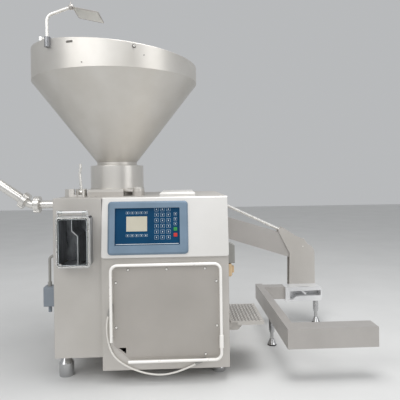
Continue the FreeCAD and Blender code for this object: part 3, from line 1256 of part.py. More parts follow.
def side_pad(body, points, start, length, kind="Pad"):
    """Pad or pocket a side outline whose corners are plain numbers."""
    sketch = new_sketch(body, "XZ_Plane", start)
    outline(sketch, [(str(x), str(z)) for x, z in points])
    extrude(body, sketch, length, kind)


def side_round(body, x, z, radius, start, length, kind="Pad"):
    """Pad or pocket a circle along y."""
    sketch = new_sketch(body, "XZ_Plane", start)
    circle(sketch, x, z, radius)
    extrude(body, sketch, length, kind)


def make_lift_column():
    body = new_body("lift_column")
    side_pad(body, COLUMN_SIDE, "column_front", "cheek")
    side_pad(body, COLUMN_SIDE, "column_back - cheek", "cheek")
    for left, right, high in ((880, 892, 940), (938, 950, 690)):
        side_pad(body, [(left, 0), (right, 0), (right, high), (left, high)], "column_front + 1",
                 "column_back - column_front - 2")
    spacer = new_sketch(body, "XZ_Plane", "cabinet_depth")
    rectangle(spacer, "spacer_left", "spacer_low", "spacer_right", "spacer_high")
    extrude(body, spacer, "column_front - cabinet_depth + 1")
    foot = new_sketch(body, "XY_Plane")
    rectangle(foot, "foot_plate_left", "column_front", "foot_plate_right", "column_back")
    extrude(body, foot, "foot_plate_thickness")
    side_round(body, "arm_pin_x", "arm_pin_z", "arm_pin_radius", "column_front + 1",
               "column_back - column_front - 2")
    side_round(body, "rod_pin_x", "rod_pin_z", "rod_pin_radius", "column_front + 1",
               "column_back - column_front - 2")
    node("lift_column", body)


def make_lift_arm():
    body = new_body("lift_arm")
    side_pad(body, ARM_SIDE, "arm_front", "arm_back - arm_front")
    side_pad(body, ARM_HOLLOW, "arm_front + arm_side", "arm_back - arm_front - arm_side * 2", "Pocket")
    for x, z in (("arm_pin_x", "arm_pin_z"), ("head_pin_x", "head_pin_z")):
        side_round(body, x, z, "arm_pin_radius + fit", "arm_front - 1", "arm_back - arm_front + 2", "Pocket")
    node("lift_arm", body)


def make_tie_rod():
    start = V(s.rod_pin_x, s.rod_y, s.rod_pin_z)
    end = V(s.rod_end_x, s.rod_y, s.rod_end_z)
    along = (end - start).normalize()
    half = V(0, s.tie_eye_width / 2, 0)
    eyes = [tube(start - half, start + half, s.tie_eye), tube(end - half, end + half, s.end_eye)]
    buckle_start = start + along * s.turnbuckle_start
    buckle = tube(buckle_start, buckle_start + along * s.turnbuckle_length, s.turnbuckle_radius)
    bores = [tube(start - half, start + half, s.rod_pin_radius + s.fit),
             tube(end - half, end + half, s.end_pin_radius + s.seat)]
    node("tie_rod", solid(tube(start, end, s.tie_radius).fuse(eyes + [buckle]).cut(bores)))


def make_lift_head():
    mast = new_body("mast")
    side_pad(mast, MAST_SIDE, "mast_front", "mast_depth")
    side_pad(mast, MAST_HOLLOW, "mast_front + mast_plate", "mast_depth - mast_plate * 2", "Pocket")
    side_round(mast, "head_pin_x", "head_pin_z", "arm_pin_radius", "mast_front + 1", "mast_depth - 2")
    side_round(mast, "rod_end_x", "rod_end_z", "end_pin_radius", "mast_front + 1", "mast_depth - 2")
    node("mast", mast)

    block = new_body("head_block")
    face = new_sketch(block, "XZ_Plane", "head_front")
    rectangle(face, "head_left", "head_low", "head_right", "head_high")
    extrude(block, face, "mast_front - head_front")
    round_edges(block, "head_corner", edges_along(AXIS_Y, lambda p: p.x > s.head_right - 1))
    side_pad(block, HEAD_SLOT, "head_front - 1", "slot_depth + 1", "Pocket")
    notch = new_sketch(block, "XZ_Plane", "hook_front - hook_gap")
    rectangle(notch, "notch_left_x", "notch_low_z", "notch_right_x", "head_high + 1")
    extrude(block, notch, "hook_width + hook_gap * 2", "Pocket")
    side_round(block, "hook_x", "hook_z", "hook_pin", "head_front + 1", "slot_depth / 2")
    node("head_block", block)

    hook = new_body("latch_hook")
    side_round(hook, "hook_x", "hook_z", "hook_radius", "hook_front", "hook_width")
    side_pad(hook, HOOK, "hook_front", "hook_width")
    side_round(hook, "hook_x", "hook_z", "hook_pin + fit", "hook_front - 1", "hook_width + 2", "Pocket")
    node("latch_hook", hook)


def make_fork():
    arms = new_body("fork_arms")
    plan = new_sketch(arms, "XY_Plane", "fork_low")
    outline(plan, [
        ("fork_left", "fork_front"), ("fork_right", "fork_front"), ("fork_right", "fork_front_inner"),
        ("fork_inner", "fork_front_inner"), ("fork_inner", "fork_back"), ("fork_left", "fork_back"),
    ])
    extrude(arms, plan, "fork_high - fork_low")
    hollow = new_sketch(arms, "XY_Plane", "fork_low - 1")
    outline(hollow, [
        ("fork_left + fork_wall", "fork_front + fork_wall"),
        ("fork_right - fork_wall", "fork_front + fork_wall"),
        ("fork_right - fork_wall", "fork_front_inner - fork_wall"),
        ("fork_inner - fork_wall", "fork_front_inner - fork_wall"),
        ("fork_inner - fork_wall", "fork_back - fork_wall"),
        ("fork_left + fork_wall", "fork_back - fork_wall"),
    ])
    extrude(arms, hollow, "fork_high - fork_low + 1 - fork_wall", "Pocket")
    beam = new_sketch(arms, "XY_Plane", "beam_low")
    rectangle(beam, "fork_inner - fork_wall / 2", "beam_front", "head_left", "beam_back")
    extrude(arms, beam, "beam_high - beam_low")
    node("fork_arms", arms)

    feet = []
    pads = []
    for x, y, top in (("fork_foot_x", "fork_foot_y", "fork_high - fork_wall"), ("head_foot_x", "head_foot_y",
                                                                                "fork_low")):
        feet.append(fuse(
            cylinder(x, y, "sleeve_low", "sleeve_radius", f"{top} - sleeve_low"),
            cylinder(x, y, "pad_height", "fork_stem", "sleeve_low"),
            cylinder(x, y, "sleeve_low - foot_nut_height", "foot_nut", "foot_nut_height"),
            cone(x, y, "pad_height + bell_shoulder", "bell_radius * 0.8", "bell_neck",
                 "bell_height - bell_shoulder"),
            cone(x, y, "pad_height", "bell_radius", "bell_radius * 0.8", "bell_shoulder"),
        ))
        pads.append(cylinder(x, y, "0", "bell_radius", "pad_height"))
    node("fork_feet", group(feet))
    node("fork_pads", group(pads))


# Build every piece, move it into the common frame and save it

make_pump_cabinet()
make_drive_cabinet()
make_cover_panel()
make_top_plate()
make_rear_panel()
make_top_hatch()
make_feet()
make_base_frame()
make_pump()
make_drive()
make_vacuum_pump()
make_electrics_box()
make_vessel()
make_controls()
make_rods()
make_cable()
make_hopper()
make_feed_spiral()
make_clamp()
make_mirror()
make_outlet()
make_side_boxes()
make_step()
make_lift_column()
make_lift_arm()
make_tie_rod()
make_lift_head()
make_fork()

LEFT_END = PIPE_END.x - s.ferrule_radius * math.sin(math.radians(s.pipe_slope))
FRONT_END = -s.vessel_reach - s.seat - s.lid_thickness
sizes(origin_x=(LEFT_END + s.fork_right) / 2, origin_y=(FRONT_END + s.column_back) / 2)
print(f"origin of the frame at x {s.origin_x:.3f}, y {s.origin_y:.3f}")

for label, piece in nodes.items():
    x, y, _ = own_place.get(piece.Name, ("0", "0", "0"))
    bind(piece, Placement__Base__x=f"({x}) - origin_x", Placement__Base__y=f"({y}) - origin_y")

doc.recompute()

for thing in doc.Objects:
    if "Invalid" in thing.State or "Error" in thing.State:
        raise RuntimeError(f"{thing.Label} ({thing.Name}) did not build: {thing.State}")

for label, piece in nodes.items():
    shape = piece.Shape
    if shape.isNull() or not shape.isValid() or not shape.Solids:
        raise RuntimeError(f"{label} has no valid solid")
    if piece.Label != label:
        raise RuntimeError(f"{label} is named {piece.Label}")
    shape.exportStep(f"parts/{label}.step")
    box_now = shape.BoundBox
    print(f"{label}: {len(shape.Solids)} solid(s), {shape.Volume / 1000:.1f} cm3,"
          f" x {box_now.XMin:.1f} {box_now.XMax:.1f} y {box_now.YMin:.1f} {box_now.YMax:.1f}"
          f" z {box_now.ZMin:.1f} {box_now.ZMax:.1f}")
print(f"{len(nodes)} pieces")
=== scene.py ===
# %% [markdown]
# # Vacuum filler
# This machine fills sausage casings. A cone-shaped hopper feeds meat paste into a vane pump inside
# a stainless steel housing, and the paste leaves through the inclined pipe on the left. The lift on
# the right tips standard trolleys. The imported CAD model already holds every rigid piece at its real
# size, so this scene adds what a CAD tool does not make well: finishes, small repeated details and
# a cable with a natural line.

# %% Load the frame
import math

import bpy
from mathutils import Matrix, Vector


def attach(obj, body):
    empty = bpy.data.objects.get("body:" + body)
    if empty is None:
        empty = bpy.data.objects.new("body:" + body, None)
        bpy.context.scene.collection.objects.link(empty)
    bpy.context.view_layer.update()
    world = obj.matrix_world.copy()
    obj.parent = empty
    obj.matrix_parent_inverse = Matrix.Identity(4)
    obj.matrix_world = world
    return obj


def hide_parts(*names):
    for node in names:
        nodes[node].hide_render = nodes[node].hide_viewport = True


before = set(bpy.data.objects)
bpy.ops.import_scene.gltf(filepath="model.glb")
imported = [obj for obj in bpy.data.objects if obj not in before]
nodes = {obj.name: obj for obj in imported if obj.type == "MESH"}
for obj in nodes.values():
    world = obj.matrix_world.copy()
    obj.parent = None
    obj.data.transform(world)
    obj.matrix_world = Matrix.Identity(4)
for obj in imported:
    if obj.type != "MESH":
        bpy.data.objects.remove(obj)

MM = 0.001
scene = bpy.context.scene
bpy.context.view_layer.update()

# %% [markdown]
# ## One place for the drawing's own coordinates
# The CAD drawing measured from the left front corner of the housing, on the floor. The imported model
# has its origin under the middle of the machine instead. The housing's box gives the shift between
# the two, so places below can be written as the drawing has them, in millimetres.

# %% From drawing millimetres to the scene's metres
ORIGIN_X, ORIGIN_Y = -0.621989, -0.490350


def at(x, y, z):
    """Turn a place in the drawing, in millimetres, into the scene's metres."""
    return Vector((ORIGIN_X + x * MM, ORIGIN_Y + y * MM, z * MM))


print("drawing origin in the scene:", at(0, 0, 0))

# %% [markdown]
# ## Camera
# The camera stands where the picture was taken from, found by fitting the housing's edges. It is
# level, turned a little to the right and rolled by under a degree. The horizon doesn't lie in the
# picture's middle, and a vertical shift of the lens gives that without tipping the camera, so
# upright edges stay upright. The three directions of the camera make the columns of its matrix.

# %% Camera
CAMERA_PLACE = at(702.1, -2565.6, 1133.5)
CAMERA_TURN = math.radians(2.538)
CAMERA_ROLL = math.radians(0.769)
LENS = 41.36
FILM_WIDTH = 36
SHIFT_UP = -0.0578

ahead = Vector((math.sin(CAMERA_TURN), math.cos(CAMERA_TURN), 0))
level_right = Vector((math.cos(CAMERA_TURN), -math.sin(CAMERA_TURN), 0))
level_up = Vector((0, 0, 1))
right = level_right * math.cos(CAMERA_ROLL) - level_up * math.sin(CAMERA_ROLL)
up = level_right * math.sin(CAMERA_ROLL) + level_up * math.cos(CAMERA_ROLL)
pose = Matrix((right, up, -ahead)).transposed().to_4x4()
pose.translation = CAMERA_PLACE

camera_data = bpy.data.cameras.new("photo_camera")
camera_data.lens = LENS
camera_data.sensor_width = FILM_WIDTH
camera_data.shift_y = SHIFT_UP
camera = bpy.data.objects.new("photo_camera", camera_data)
camera.matrix_world = pose
scene.collection.objects.link(camera)
scene.camera = camera
print("camera at", tuple(round(v, 3) for v in CAMERA_PLACE))

# %% [markdown]
# ## Materials are small node trees
# Stainless steel on a machine is not one grey. It is blasted or brushed, it has soft clouds where it
# was wiped, and its roughness changes with them. So a noise drives nearly everything here. Small
# helpers make that noise, spread it over a range of numbers, mix two colours by it and tilt the
# surface with it. Noise seldom leaves its middle, so only that part of it is spread.

# %% Material helpers
NOISE_MIDDLE = (0.3, 0.7)


def linear(colour):
    """Turn a colour such as 'b0ada8' into the scene's linear values."""
    parts = [int(colour[i:i + 2], 16) / 255 for i in (0, 2, 4)]
    return [*(p / 12.92 if p <= 0.04045 else ((p + 0.055) / 1.055) ** 2.4 for p in parts), 1]


def new_material(name):
    """A material with its tree, its shader and the object's coordinates."""
    material = bpy.data.materials.new(name)
    material.use_nodes = True
    tree = material.node_tree
    shader = tree.nodes["Principled BSDF"]
    coordinates = tree.nodes.new("ShaderNodeTexCoord").outputs["Object"]
    return material, tree, shader, coordinates


def noise(tree, vector, scale, detail=4.0, stretch=(1, 1, 1)):
    """A noise pattern, stretched along the axes for brushing."""
    mapping = tree.nodes.new("ShaderNodeMapping")
    mapping.inputs["Scale"].default_value = stretch
    tree.links.new(vector, mapping.inputs["Vector"])
    texture = tree.nodes.new("ShaderNodeTexNoise")
    texture.inputs["Scale"].default_value = scale
    texture.inputs["Detail"].default_value = detail
    tree.links.new(mapping.outputs["Vector"], texture.inputs["Vector"])
    return texture.outputs["Fac"]


def spread(tree, factor, low, high):
    """Spread a pattern's middle range between two numbers."""
    node = tree.nodes.new("ShaderNodeMapRange")
    node.inputs["From Min"].default_value = NOISE_MIDDLE[0]
    node.inputs["From Max"].default_value = NOISE_MIDDLE[1]
    node.inputs["To Min"].default_value = low
    node.inputs["To Max"].default_value = high
    tree.links.new(factor, node.inputs["Value"])
    return node.outputs["Result"]


def two_colours(tree, factor, first, second):
    """Mix two colours, or two patterns of colour, by a third pattern."""
    node = tree.nodes.new("ShaderNodeMix")
    node.data_type = "RGBA"
    for socket, colour in (("A", first), ("B", second)):
        if isinstance(colour, bpy.types.NodeSocket):
            tree.links.new(colour, node.inputs[socket])
        else:
            node.inputs[socket].default_value = colour
    tree.links.new(factor, node.inputs["Factor"])
    return node.outputs["Result"]


def bump(tree, height, distance):
    """Let a pattern tilt the surface, as if it stood out by a distance in metres."""
    node = tree.nodes.new("ShaderNodeBump")
    node.inputs["Distance"].default_value = distance
    tree.links.new(height, node.inputs["Height"])
    return node.outputs["Normal"]


print("noise is read between", *NOISE_MIDDLE)

# %% [markdown]
# The housing is bead-blasted, which leaves a dull, even skin. The hopper and its neck are rolled and
# polished round their axis, the pipes and rods are smooth, and the lift's head is a rough casting. A
# colour with slow clouds gives each its tone, and a fine grain changes the roughness and tilts the
# surface. On steel that is polished round its axis a highlight is drawn out along the axis. The
# shader does that with its anisotropy, given a tangent that runs round the upright axis.

# %% Metals
METAL_ROUGHNESS = (-0.05, 0.07)
CLOUDS = {"scale": 3.5, "detail": 5}
AROUND_TO_UPRIGHT = 0.25


def coat_with(tree, shader, clouds, fine, colours, roughness, depth):
    """Link a slow pattern to the colour, and a fine one to the roughness and the bump."""
    tree.links.new(two_colours(tree, spread(tree, clouds, 0, 1), *map(linear, colours)),
                   shader.inputs["Base Color"])
    tree.links.new(spread(tree, fine, *roughness), shader.inputs["Roughness"])
    tree.links.new(bump(tree, fine, depth), shader.inputs["Normal"])


def metal(name, colour, cloud_colour, roughness, metallic=0.85, grain=900, stretch=(1, 1, 1),
          depth=0.00004, turned=0.0):
    """Stainless steel: slow clouds in the colour, a fine grain in the roughness and the bump.

    With turned above 0 the finish runs round the upright axis.
    """
    material, tree, shader, place = new_material(name)
    clouds = noise(tree, place, **CLOUDS)
    fine = noise(tree, place, grain, detail=2, stretch=stretch)
    coat_with(tree, shader, clouds, fine, (colour, cloud_colour),
              [roughness + change for change in METAL_ROUGHNESS], depth)
    shader.inputs["Metallic"].default_value = metallic
    if turned:
        around = tree.nodes.new("ShaderNodeTangent")
        around.direction_type = "RADIAL"
        around.axis = "Z"
        tree.links.new(around.outputs["Tangent"], shader.inputs["Tangent"])
        shader.inputs["Anisotropic"].default_value = turned
        shader.inputs["Anisotropic Rotation"].default_value = AROUND_TO_UPRIGHT
    return material


SATIN = 25         # a wide, slow grain for polished pieces
SMOOTH = 0.000004  # and next to no bump
blasted_steel = metal("blasted_steel", "cbc7c2", "c1bdb7", 0.46, 0.5, 1400)
panel_steel = metal("panel_steel", "b7b2ac", "aea9a3", 0.46, 0.5, 1400)
face_steel = metal("face_steel", "dfddda", "d8d6d2", 0.42, 0.2, 1200)
lift_steel = metal("lift_steel", "bfbbb7", "b2aeaa", 0.38, 0.5, 1200)
cone_steel = metal("cone_steel", "dedbd6", "d0ccc5", 0.45, 0.85, 260, (1, 1, 14), turned=0.5)
turned_steel = metal("turned_steel", "dedbd6", "d2cfca", 0.36, 0.75, 500, (1, 1, 6), turned=0.6)
pipe_steel = metal("pipe_steel", "e9e7e3", "dddad5", 0.26, 0.75, SATIN, depth=SMOOTH)
cast_steel = metal("cast_steel", "f6f6f6", "cbccce", 0.34, 0.42, 240, depth=0.00025)
foot_steel = metal("foot_steel", "cfcfcf", "a9aaac", 0.22, 0.9, SATIN, depth=SMOOTH)
bright_steel = metal("bright_steel", "f0eeea", "e8e5e0", 0.27, 0.6, SATIN, depth=SMOOTH)
rod_steel = metal("rod_steel", "fdfbf7", "f8f5f0", 0.32, 0.12, SATIN, depth=SMOOTH)
# A dark steel for small real parts, and for the painted shadow rings under the front screws.
seam_and_shadow_steel = metal("seam_and_shadow_steel", "6f6c68", "615e5a", 0.45, 0.6, 900)
tread_steel = metal("tread_steel", "a6a29d", "97938e", 0.42, 0.6, 900)
# A dark steel for the pump's inner parts; on the mirror bracket it is partly painted shade.
tool_steel = metal("tool_steel", "8f9092", "85868a", 0.35, 0.95, 900)
print("metals:", [m.name for m in bpy.data.materials if m.name.endswith("steel")])

# %% [markdown]
# The vacuum vessel is one deep-drawn pan. Its flange is polished because the lid's seal lies on it.
# One material reads the piece's own depth and turns from the bright flange to a darker, mottled
# inside; that darkness is painted shade of the deep recess.

# %% Vessel steel
FLANGE_BACK = at(0, -80, 0).y
FLANGE_FADE = 0.012


def pan_steel():
    """Bright steel in front of the flange's back, and behind it darker mottled steel as painted
    shade.
    """
    material, tree, shader, place = new_material("pan_steel")
    parts = tree.nodes.new("ShaderNodeSeparateXYZ")
    tree.links.new(place, parts.inputs["Vector"])
    inside = tree.nodes.new("ShaderNodeMapRange")
    inside.inputs["From Min"].default_value = FLANGE_BACK
    inside.inputs["From Max"].default_value = FLANGE_BACK + FLANGE_FADE
    tree.links.new(parts.outputs["Y"], inside.inputs["Value"])
    vessel_mottle = spread(tree, noise(tree, place, scale=22, detail=6, stretch=(1, 1, 0.4)), 0, 1)
    # Painted shade: the inside, behind the flange, is coloured darker than the flange, with a mottled
    # tone.
    shaded_inside = two_colours(tree, vessel_mottle, linear("5e5f62"), linear("bcbdc1"))
    bright = linear("e6e6e6")
    tree.links.new(two_colours(tree, inside.outputs["Result"], bright, shaded_inside),
                   shader.inputs["Base Color"])
    tree.links.new(spread(tree, vessel_mottle, 0.28, 0.42), shader.inputs["Roughness"])
    tree.links.new(bump(tree, vessel_mottle, 0.0006), shader.inputs["Normal"])
    shader.inputs["Metallic"].default_value = 0.7
    return material


pan = pan_steel()
print("vessel finish:", pan.name)

# %% [markdown]
# The keypad, bezel, switch, boxes and cable are moulded, cast or painted. They are made like the
# steels, but with no metal in the shader: two near colours, a fine texture, and a clear coat where
# a button shines. The keypad film is matt, so it gets less shine than the shader has by itself.

# %% Plastics, rubber and paint
PLASTIC_ROUGHNESS = (-0.04, 0.06)
PLASTIC_CLOUDS = {"scale": 9, "detail": 4}


def moulded(name, colour, second, roughness, grain=700, depth=0.00006, coat=0.0, shine=0.5):
    """Moulded plastic, paint or rubber: two near colours and a fine texture."""
    material, tree, shader, place = new_material(name)
    clouds = noise(tree, place, **PLASTIC_CLOUDS)
    fine = noise(tree, place, grain, detail=2)
    coat_with(tree, shader, clouds, fine, (colour, second),
              [roughness + change for change in PLASTIC_ROUGHNESS], depth)
    shader.inputs["Coat Weight"].default_value = coat
    shader.inputs["Specular IOR Level"].default_value = shine
    return material


bezel_grey = moulded("bezel_grey", "74899d", "6b8092", 0.5)
keypad_blue = moulded("keypad_blue", "0a4265", "083a5b", 0.5, shine=0.12)
key_pale = moulded("key_pale", "9fb2c0", "94a8b7", 0.5)
key_dark = moulded("key_dark", "0c4164", "0a3a5a", 0.5, shine=0.15)
key_white = moulded("key_white", "e4e8ea", "d9dee1", 0.5)
screen_beige = moulded("screen_beige", "c6c1b0", "bcb7a5", 0.4)
go_green = moulded("go_green", "1f8a3c", "1b7c35", 0.32, coat=0.4)
stop_red = moulded("stop_red", "c5241c", "b42019", 0.32, coat=0.4)
cream_shell = moulded("cream_shell", "e6cba4", "dcbf97", 0.45)
warm_grey = moulded("warm_grey", "a09f9b", "979692", 0.5)
blue_grey = moulded("blue_grey", "8a929b", "818992", 0.5)
cable_white = moulded("cable_white", "e9e6e0", "dfdcd6", 0.45)
black_rubber = moulded("black_rubber", "1b1b1c", "222223", 0.7, 400, 0.0001)
vane_white = moulded("vane_white", "e0dccb", "d6d2c0", 0.5)
machine_grey = moulded("machine_grey", "59616a", "525a62", 0.4, coat=0.3)
print("painted and moulded:", bezel_grey.name, "to", machine_grey.name)

# %% [markdown]
# Two pieces need neither: the vessel's clear lid, which lets light through, and the mirror, which
# throws it back. Both are smooth, and faint wiping marks in the roughness keep them from looking
# like a hole in the picture.

# %% Clear plastic and mirror
WIPED = 0.03
LOW_BEND = 1.2


def clear(name, colour, roughness, transmission, metallic=0.0):
    """Glass-like plastic or a mirror, with faint wiping marks in its roughness."""
    material, tree, shader, place = new_material(name)
    marks = noise(tree, place, scale=14, detail=6, stretch=(1, 1, 3))
    tree.links.new(spread(tree, marks, roughness, roughness + WIPED), shader.inputs["Roughness"])
    shader.inputs["Base Color"].default_value = linear(colour)
    shader.inputs["Transmission Weight"].default_value = transmission
    shader.inputs["Metallic"].default_value = metallic
    shader.inputs["IOR"].default_value = LOW_BEND
    return material


clear_pane = clear("clear_pane", "fafcfc", 0.0, 1.0)
mirror_silver = clear("mirror_silver", "e9ebeb", 0.02, 0.0, 1.0)
print("clear and mirror:", clear_pane.name, mirror_silver.name)

# %% [markdown]
# ## Dressing the CAD pieces
# A CAD piece whose shape is right stays as it is and only takes a finish. The table below goes
# finish by finish, the way a buyer's parts list would.

# %% Finishes for the CAD pieces
FINISHES = {
    blasted_steel: ["pump_cabinet", "drive_cabinet", "top_plate", "rear_panel", "step_bracket",
                    "step_platform", "lift_column", "mast", "base_frame", "electrics_box"],
    lift_steel: ["lift_arm", "fork_arms", "mirror_plate"],
    panel_steel: ["cover_panel"],
    face_steel: ["control_box", "top_hatch"],
    cone_steel: ["hopper_bowl"],
    turned_steel: ["hopper_neck", "feed_spiral", "clamp_base"],
    pipe_steel: ["union_nuts", "outlet_tube", "outlet_elbow", "filling_pipe"],
    cast_steel: ["head_block", "latch_hook"],
    pan: ["vessel_body", "vessel_baffle"],
    bright_steel: ["cover_screws", "hopper_pin", "clamp_lever", "mirror_post", "mirror_screw",
                   "tie_rod"],
    rod_steel: ["guard_rod", "knee_lever", "lever_socket"],
    foot_steel: ["fork_feet", "machine_feet"],
    # The mirror bracket's dark steel is partly painted shade.
    tool_steel: ["pump_housing", "pump_rotor", "mirror_bracket"],
    vane_white: ["pump_vanes"],
    machine_grey: ["gear_motor", "vacuum_pump"],
    black_rubber: ["fork_pads"],
    bezel_grey: ["bezel"],
    keypad_blue: ["keypad_plate"],
    screen_beige: ["screen"],
    go_green: ["start_key"],
    stop_red: ["stop_key"],
    clear_pane: ["vessel_lid"],
    mirror_silver: ["mirror_glass"],
    cream_shell: ["isolator_housing", "isolator_handle"],
    warm_grey: ["isolator_hood", "conduit", "cable_glands"],
    blue_grey: ["connector_box"],
    cable_white: ["control_cable"],
}


def finish(piece, material):
    """Give a piece one material, in place of what it had."""
    piece.data.materials.clear()
    piece.data.materials.append(material)


for material, names in FINISHES.items():
    for name in names:
        finish(nodes[name], material)
print(sum(len(names) for names in FINISHES.values()), "of", len(nodes), "CAD pieces have a finish")

# %% [markdown]
# ## The white control cable
# A thin white cable hangs in a slack bow from a gland behind the left of the rod frame to a second
# gland near the lever. It keeps the length it has in the CAD drawing. A NURBS line through few
# control points gives it the easy curve of something soft that hangs under its own weight.

# %% Control cable
CABLE_ROUTE = [
    (313, 418), (298, 372), (291, 312), (296, 255), (308, 200), (334, 150), (381, 111), (445, 78),
    (520, 54), (598, 47), (672, 60), (742, 86), (782, 104), (812, 118),
]
CABLE_LEVEL = -31
CABLE_RADIUS = 0.005

cable_curve = bpy.data.curves.new("cable", "CURVE")
cable_curve.dimensions = "3D"
cable_curve.bevel_depth = CABLE_RADIUS
cable_curve.bevel_resolution = 5
cable_curve.use_fill_caps = True
line = cable_curve.splines.new("NURBS")
line.points.add(len(CABLE_ROUTE) - 1)
for point, (x, z) in zip(line.points, CABLE_ROUTE):
    point.co = (*at(x, CABLE_LEVEL, z), 1)
line.order_u = 3
line.use_endpoint_u = True
line.resolution_u = 8
cable = bpy.data.objects.new("cable", cable_curve)
cable.data.materials.append(cable_white)
scene.collection.objects.link(cable)
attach(cable, "machine")
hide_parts("control_cable")
print("cable of", len(CABLE_ROUTE), "points")

# %% [markdown]
# Each gland ends in a tapered, ribbed sleeve, which stops the cable from kinking where it leaves
# the metal. A short line along the cable carries it, thick and thin by turns and thinner towards the
# end.

# %% Strain reliefs
SLEEVES = {"upper_sleeve": ((313, 418), (300, 378)), "lower_sleeve": ((812, 118), (776, 101))}
RIBS = 13
SLEEVE_START, SLEEVE_TAPER, RIB_DEPTH = 1.75, 0.45, 0.18  # in cable radii
for name, ((x0, z0), (x1, z1)) in SLEEVES.items():
    sleeve_curve = bpy.data.curves.new(name, "CURVE")
    sleeve_curve.dimensions = "3D"
    sleeve_curve.bevel_depth = CABLE_RADIUS
    sleeve_curve.bevel_resolution = 4
    sleeve_curve.use_fill_caps = True
    ribs = sleeve_curve.splines.new("POLY")
    ribs.points.add(RIBS - 1)
    for number, point in enumerate(ribs.points):
        share = number / (RIBS - 1)
        point.co = (*at(x0 + (x1 - x0) * share, CABLE_LEVEL, z0 + (z1 - z0) * share), 1)
        point.radius = SLEEVE_START - SLEEVE_TAPER * share - (RIB_DEPTH if number % 2 else 0)
    sleeve = bpy.data.objects.new(name, sleeve_curve)
    sleeve.data.materials.append(warm_grey)
    scene.collection.objects.link(sleeve)
    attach(sleeve, "machine")
print("strain reliefs:", *SLEEVES)

# %% [markdown]
# ## Repeated details with Geometry Nodes
# Screws, keys and tread marks repeat. A small node tree makes one of them and sets it on every
# point of a mesh, so the pattern is a list of places and the shape is a few sizes. The helpers below
# build such a tree, feed it by socket identifier and turn the result into a plain mesh.

# %% Geometry Nodes helpers
SEAM_GAP = 0.00001  # points nearer than this become one


def new_tree(name, **inputs):
    """A geometry tree with named number inputs, and its input and output nodes."""
    tree = bpy.data.node_groups.new(name, "GeometryNodeTree")
    tree.interface.new_socket("Geometry", in_out="INPUT", socket_type="NodeSocketGeometry")
    for label, kind in inputs.items():
        tree.interface.new_socket(label, in_out="INPUT", socket_type=f"NodeSocket{kind}")
    tree.interface.new_socket("Material", in_out="INPUT", socket_type="NodeSocketMaterial")
    tree.interface.new_socket("Geometry", in_out="OUTPUT", socket_type="NodeSocketGeometry")
    return tree, tree.nodes.new("NodeGroupInput"), tree.nodes.new("NodeGroupOutput")


def add(tree, kind, links=None, **settings):
    """Add a node, link its inputs by name and set the rest."""
    node = tree.nodes.new(kind)
    for name, value in settings.items():
        if hasattr(node, name):
            setattr(node, name, value)
        else:
            node.inputs[name.replace("_", " ")].default_value = value
    for name, source in (links or {}).items():
        tree.links.new(source, node.inputs[name])
    return node


def close_below(tree, lifted, outline):
    """Close a lifted shape with its own outline, turned to face down, and join the seam."""
    base = add(tree, "GeometryNodeFlipFaces", {"Mesh": outline})
    whole = add(tree, "GeometryNodeJoinGeometry")
    tree.links.new(lifted, whole.inputs["Geometry"])
    tree.links.new(base.outputs["Mesh"], whole.inputs["Geometry"])
    merged = add(tree, "GeometryNodeMergeByDistance", {"Geometry": whole.outputs["Geometry"]},
                 Distance=SEAM_GAP)
    return merged.outputs["Geometry"]


def close_tree(tree, given, result, geometry):
    """End a tree in real geometry with its material."""
    real = add(tree, "GeometryNodeRealizeInstances", {"Geometry": geometry})
    painted = add(tree, "GeometryNodeSetMaterial",
                  {"Geometry": real.outputs["Geometry"], "Material": given.outputs["Material"]})
    tree.links.new(painted.outputs["Geometry"], result.inputs["Geometry"])


def run_tree(tree, name, mesh, values):
    """Run a tree on a mesh and return a new object with the plain mesh that it made."""
    host = bpy.data.objects.new(name + "_host", mesh)
    scene.collection.objects.link(host)
    modifier = host.modifiers.new(name, "NODES")
    modifier.node_group = tree
    for item in tree.interface.items_tree:
        if item.in_out == "INPUT" and item.name in values:
            modifier[item.identifier] = values[item.name]
    depsgraph = bpy.context.evaluated_depsgraph_get()
    made = bpy.data.meshes.new_from_object(host.evaluated_get(depsgraph))
    host.modifiers.remove(modifier)
    bpy.data.objects.remove(host)
    piece = bpy.data.objects.new(name, made)
    made.name = name
    scene.collection.objects.link(piece)
    print(f"{name}: {len(made.polygons)} faces")
    return piece


def points_mesh(name, places):
    """A mesh of loose points."""
    mesh = bpy.data.meshes.new(name)
    mesh.from_pydata([tuple(p) for p in places], [], [])
    return mesh


def settle(piece, body, place=None):
    """Move a piece's mesh into its place, with its object at the origin, and ride on a body."""
    if place is not None:
        piece.data.transform(place)
    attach(piece, body)
    return piece


# %% [markdown]
# A fastener head is a low prism: a disc that is pushed up, drawn in a little for its bevelled edge,
# and pushed down again in the middle for the drive. Six sides make a hexagon head and thirty a
# round one, so one tree serves both. Its open back is closed with the disc that it started from.

# %% Tree: fastener heads on points
BEVEL_HEIGHT = 0.25  # as a share of the head's height
BEVEL_DRAWN = 0.84   # as a share of the head's radius


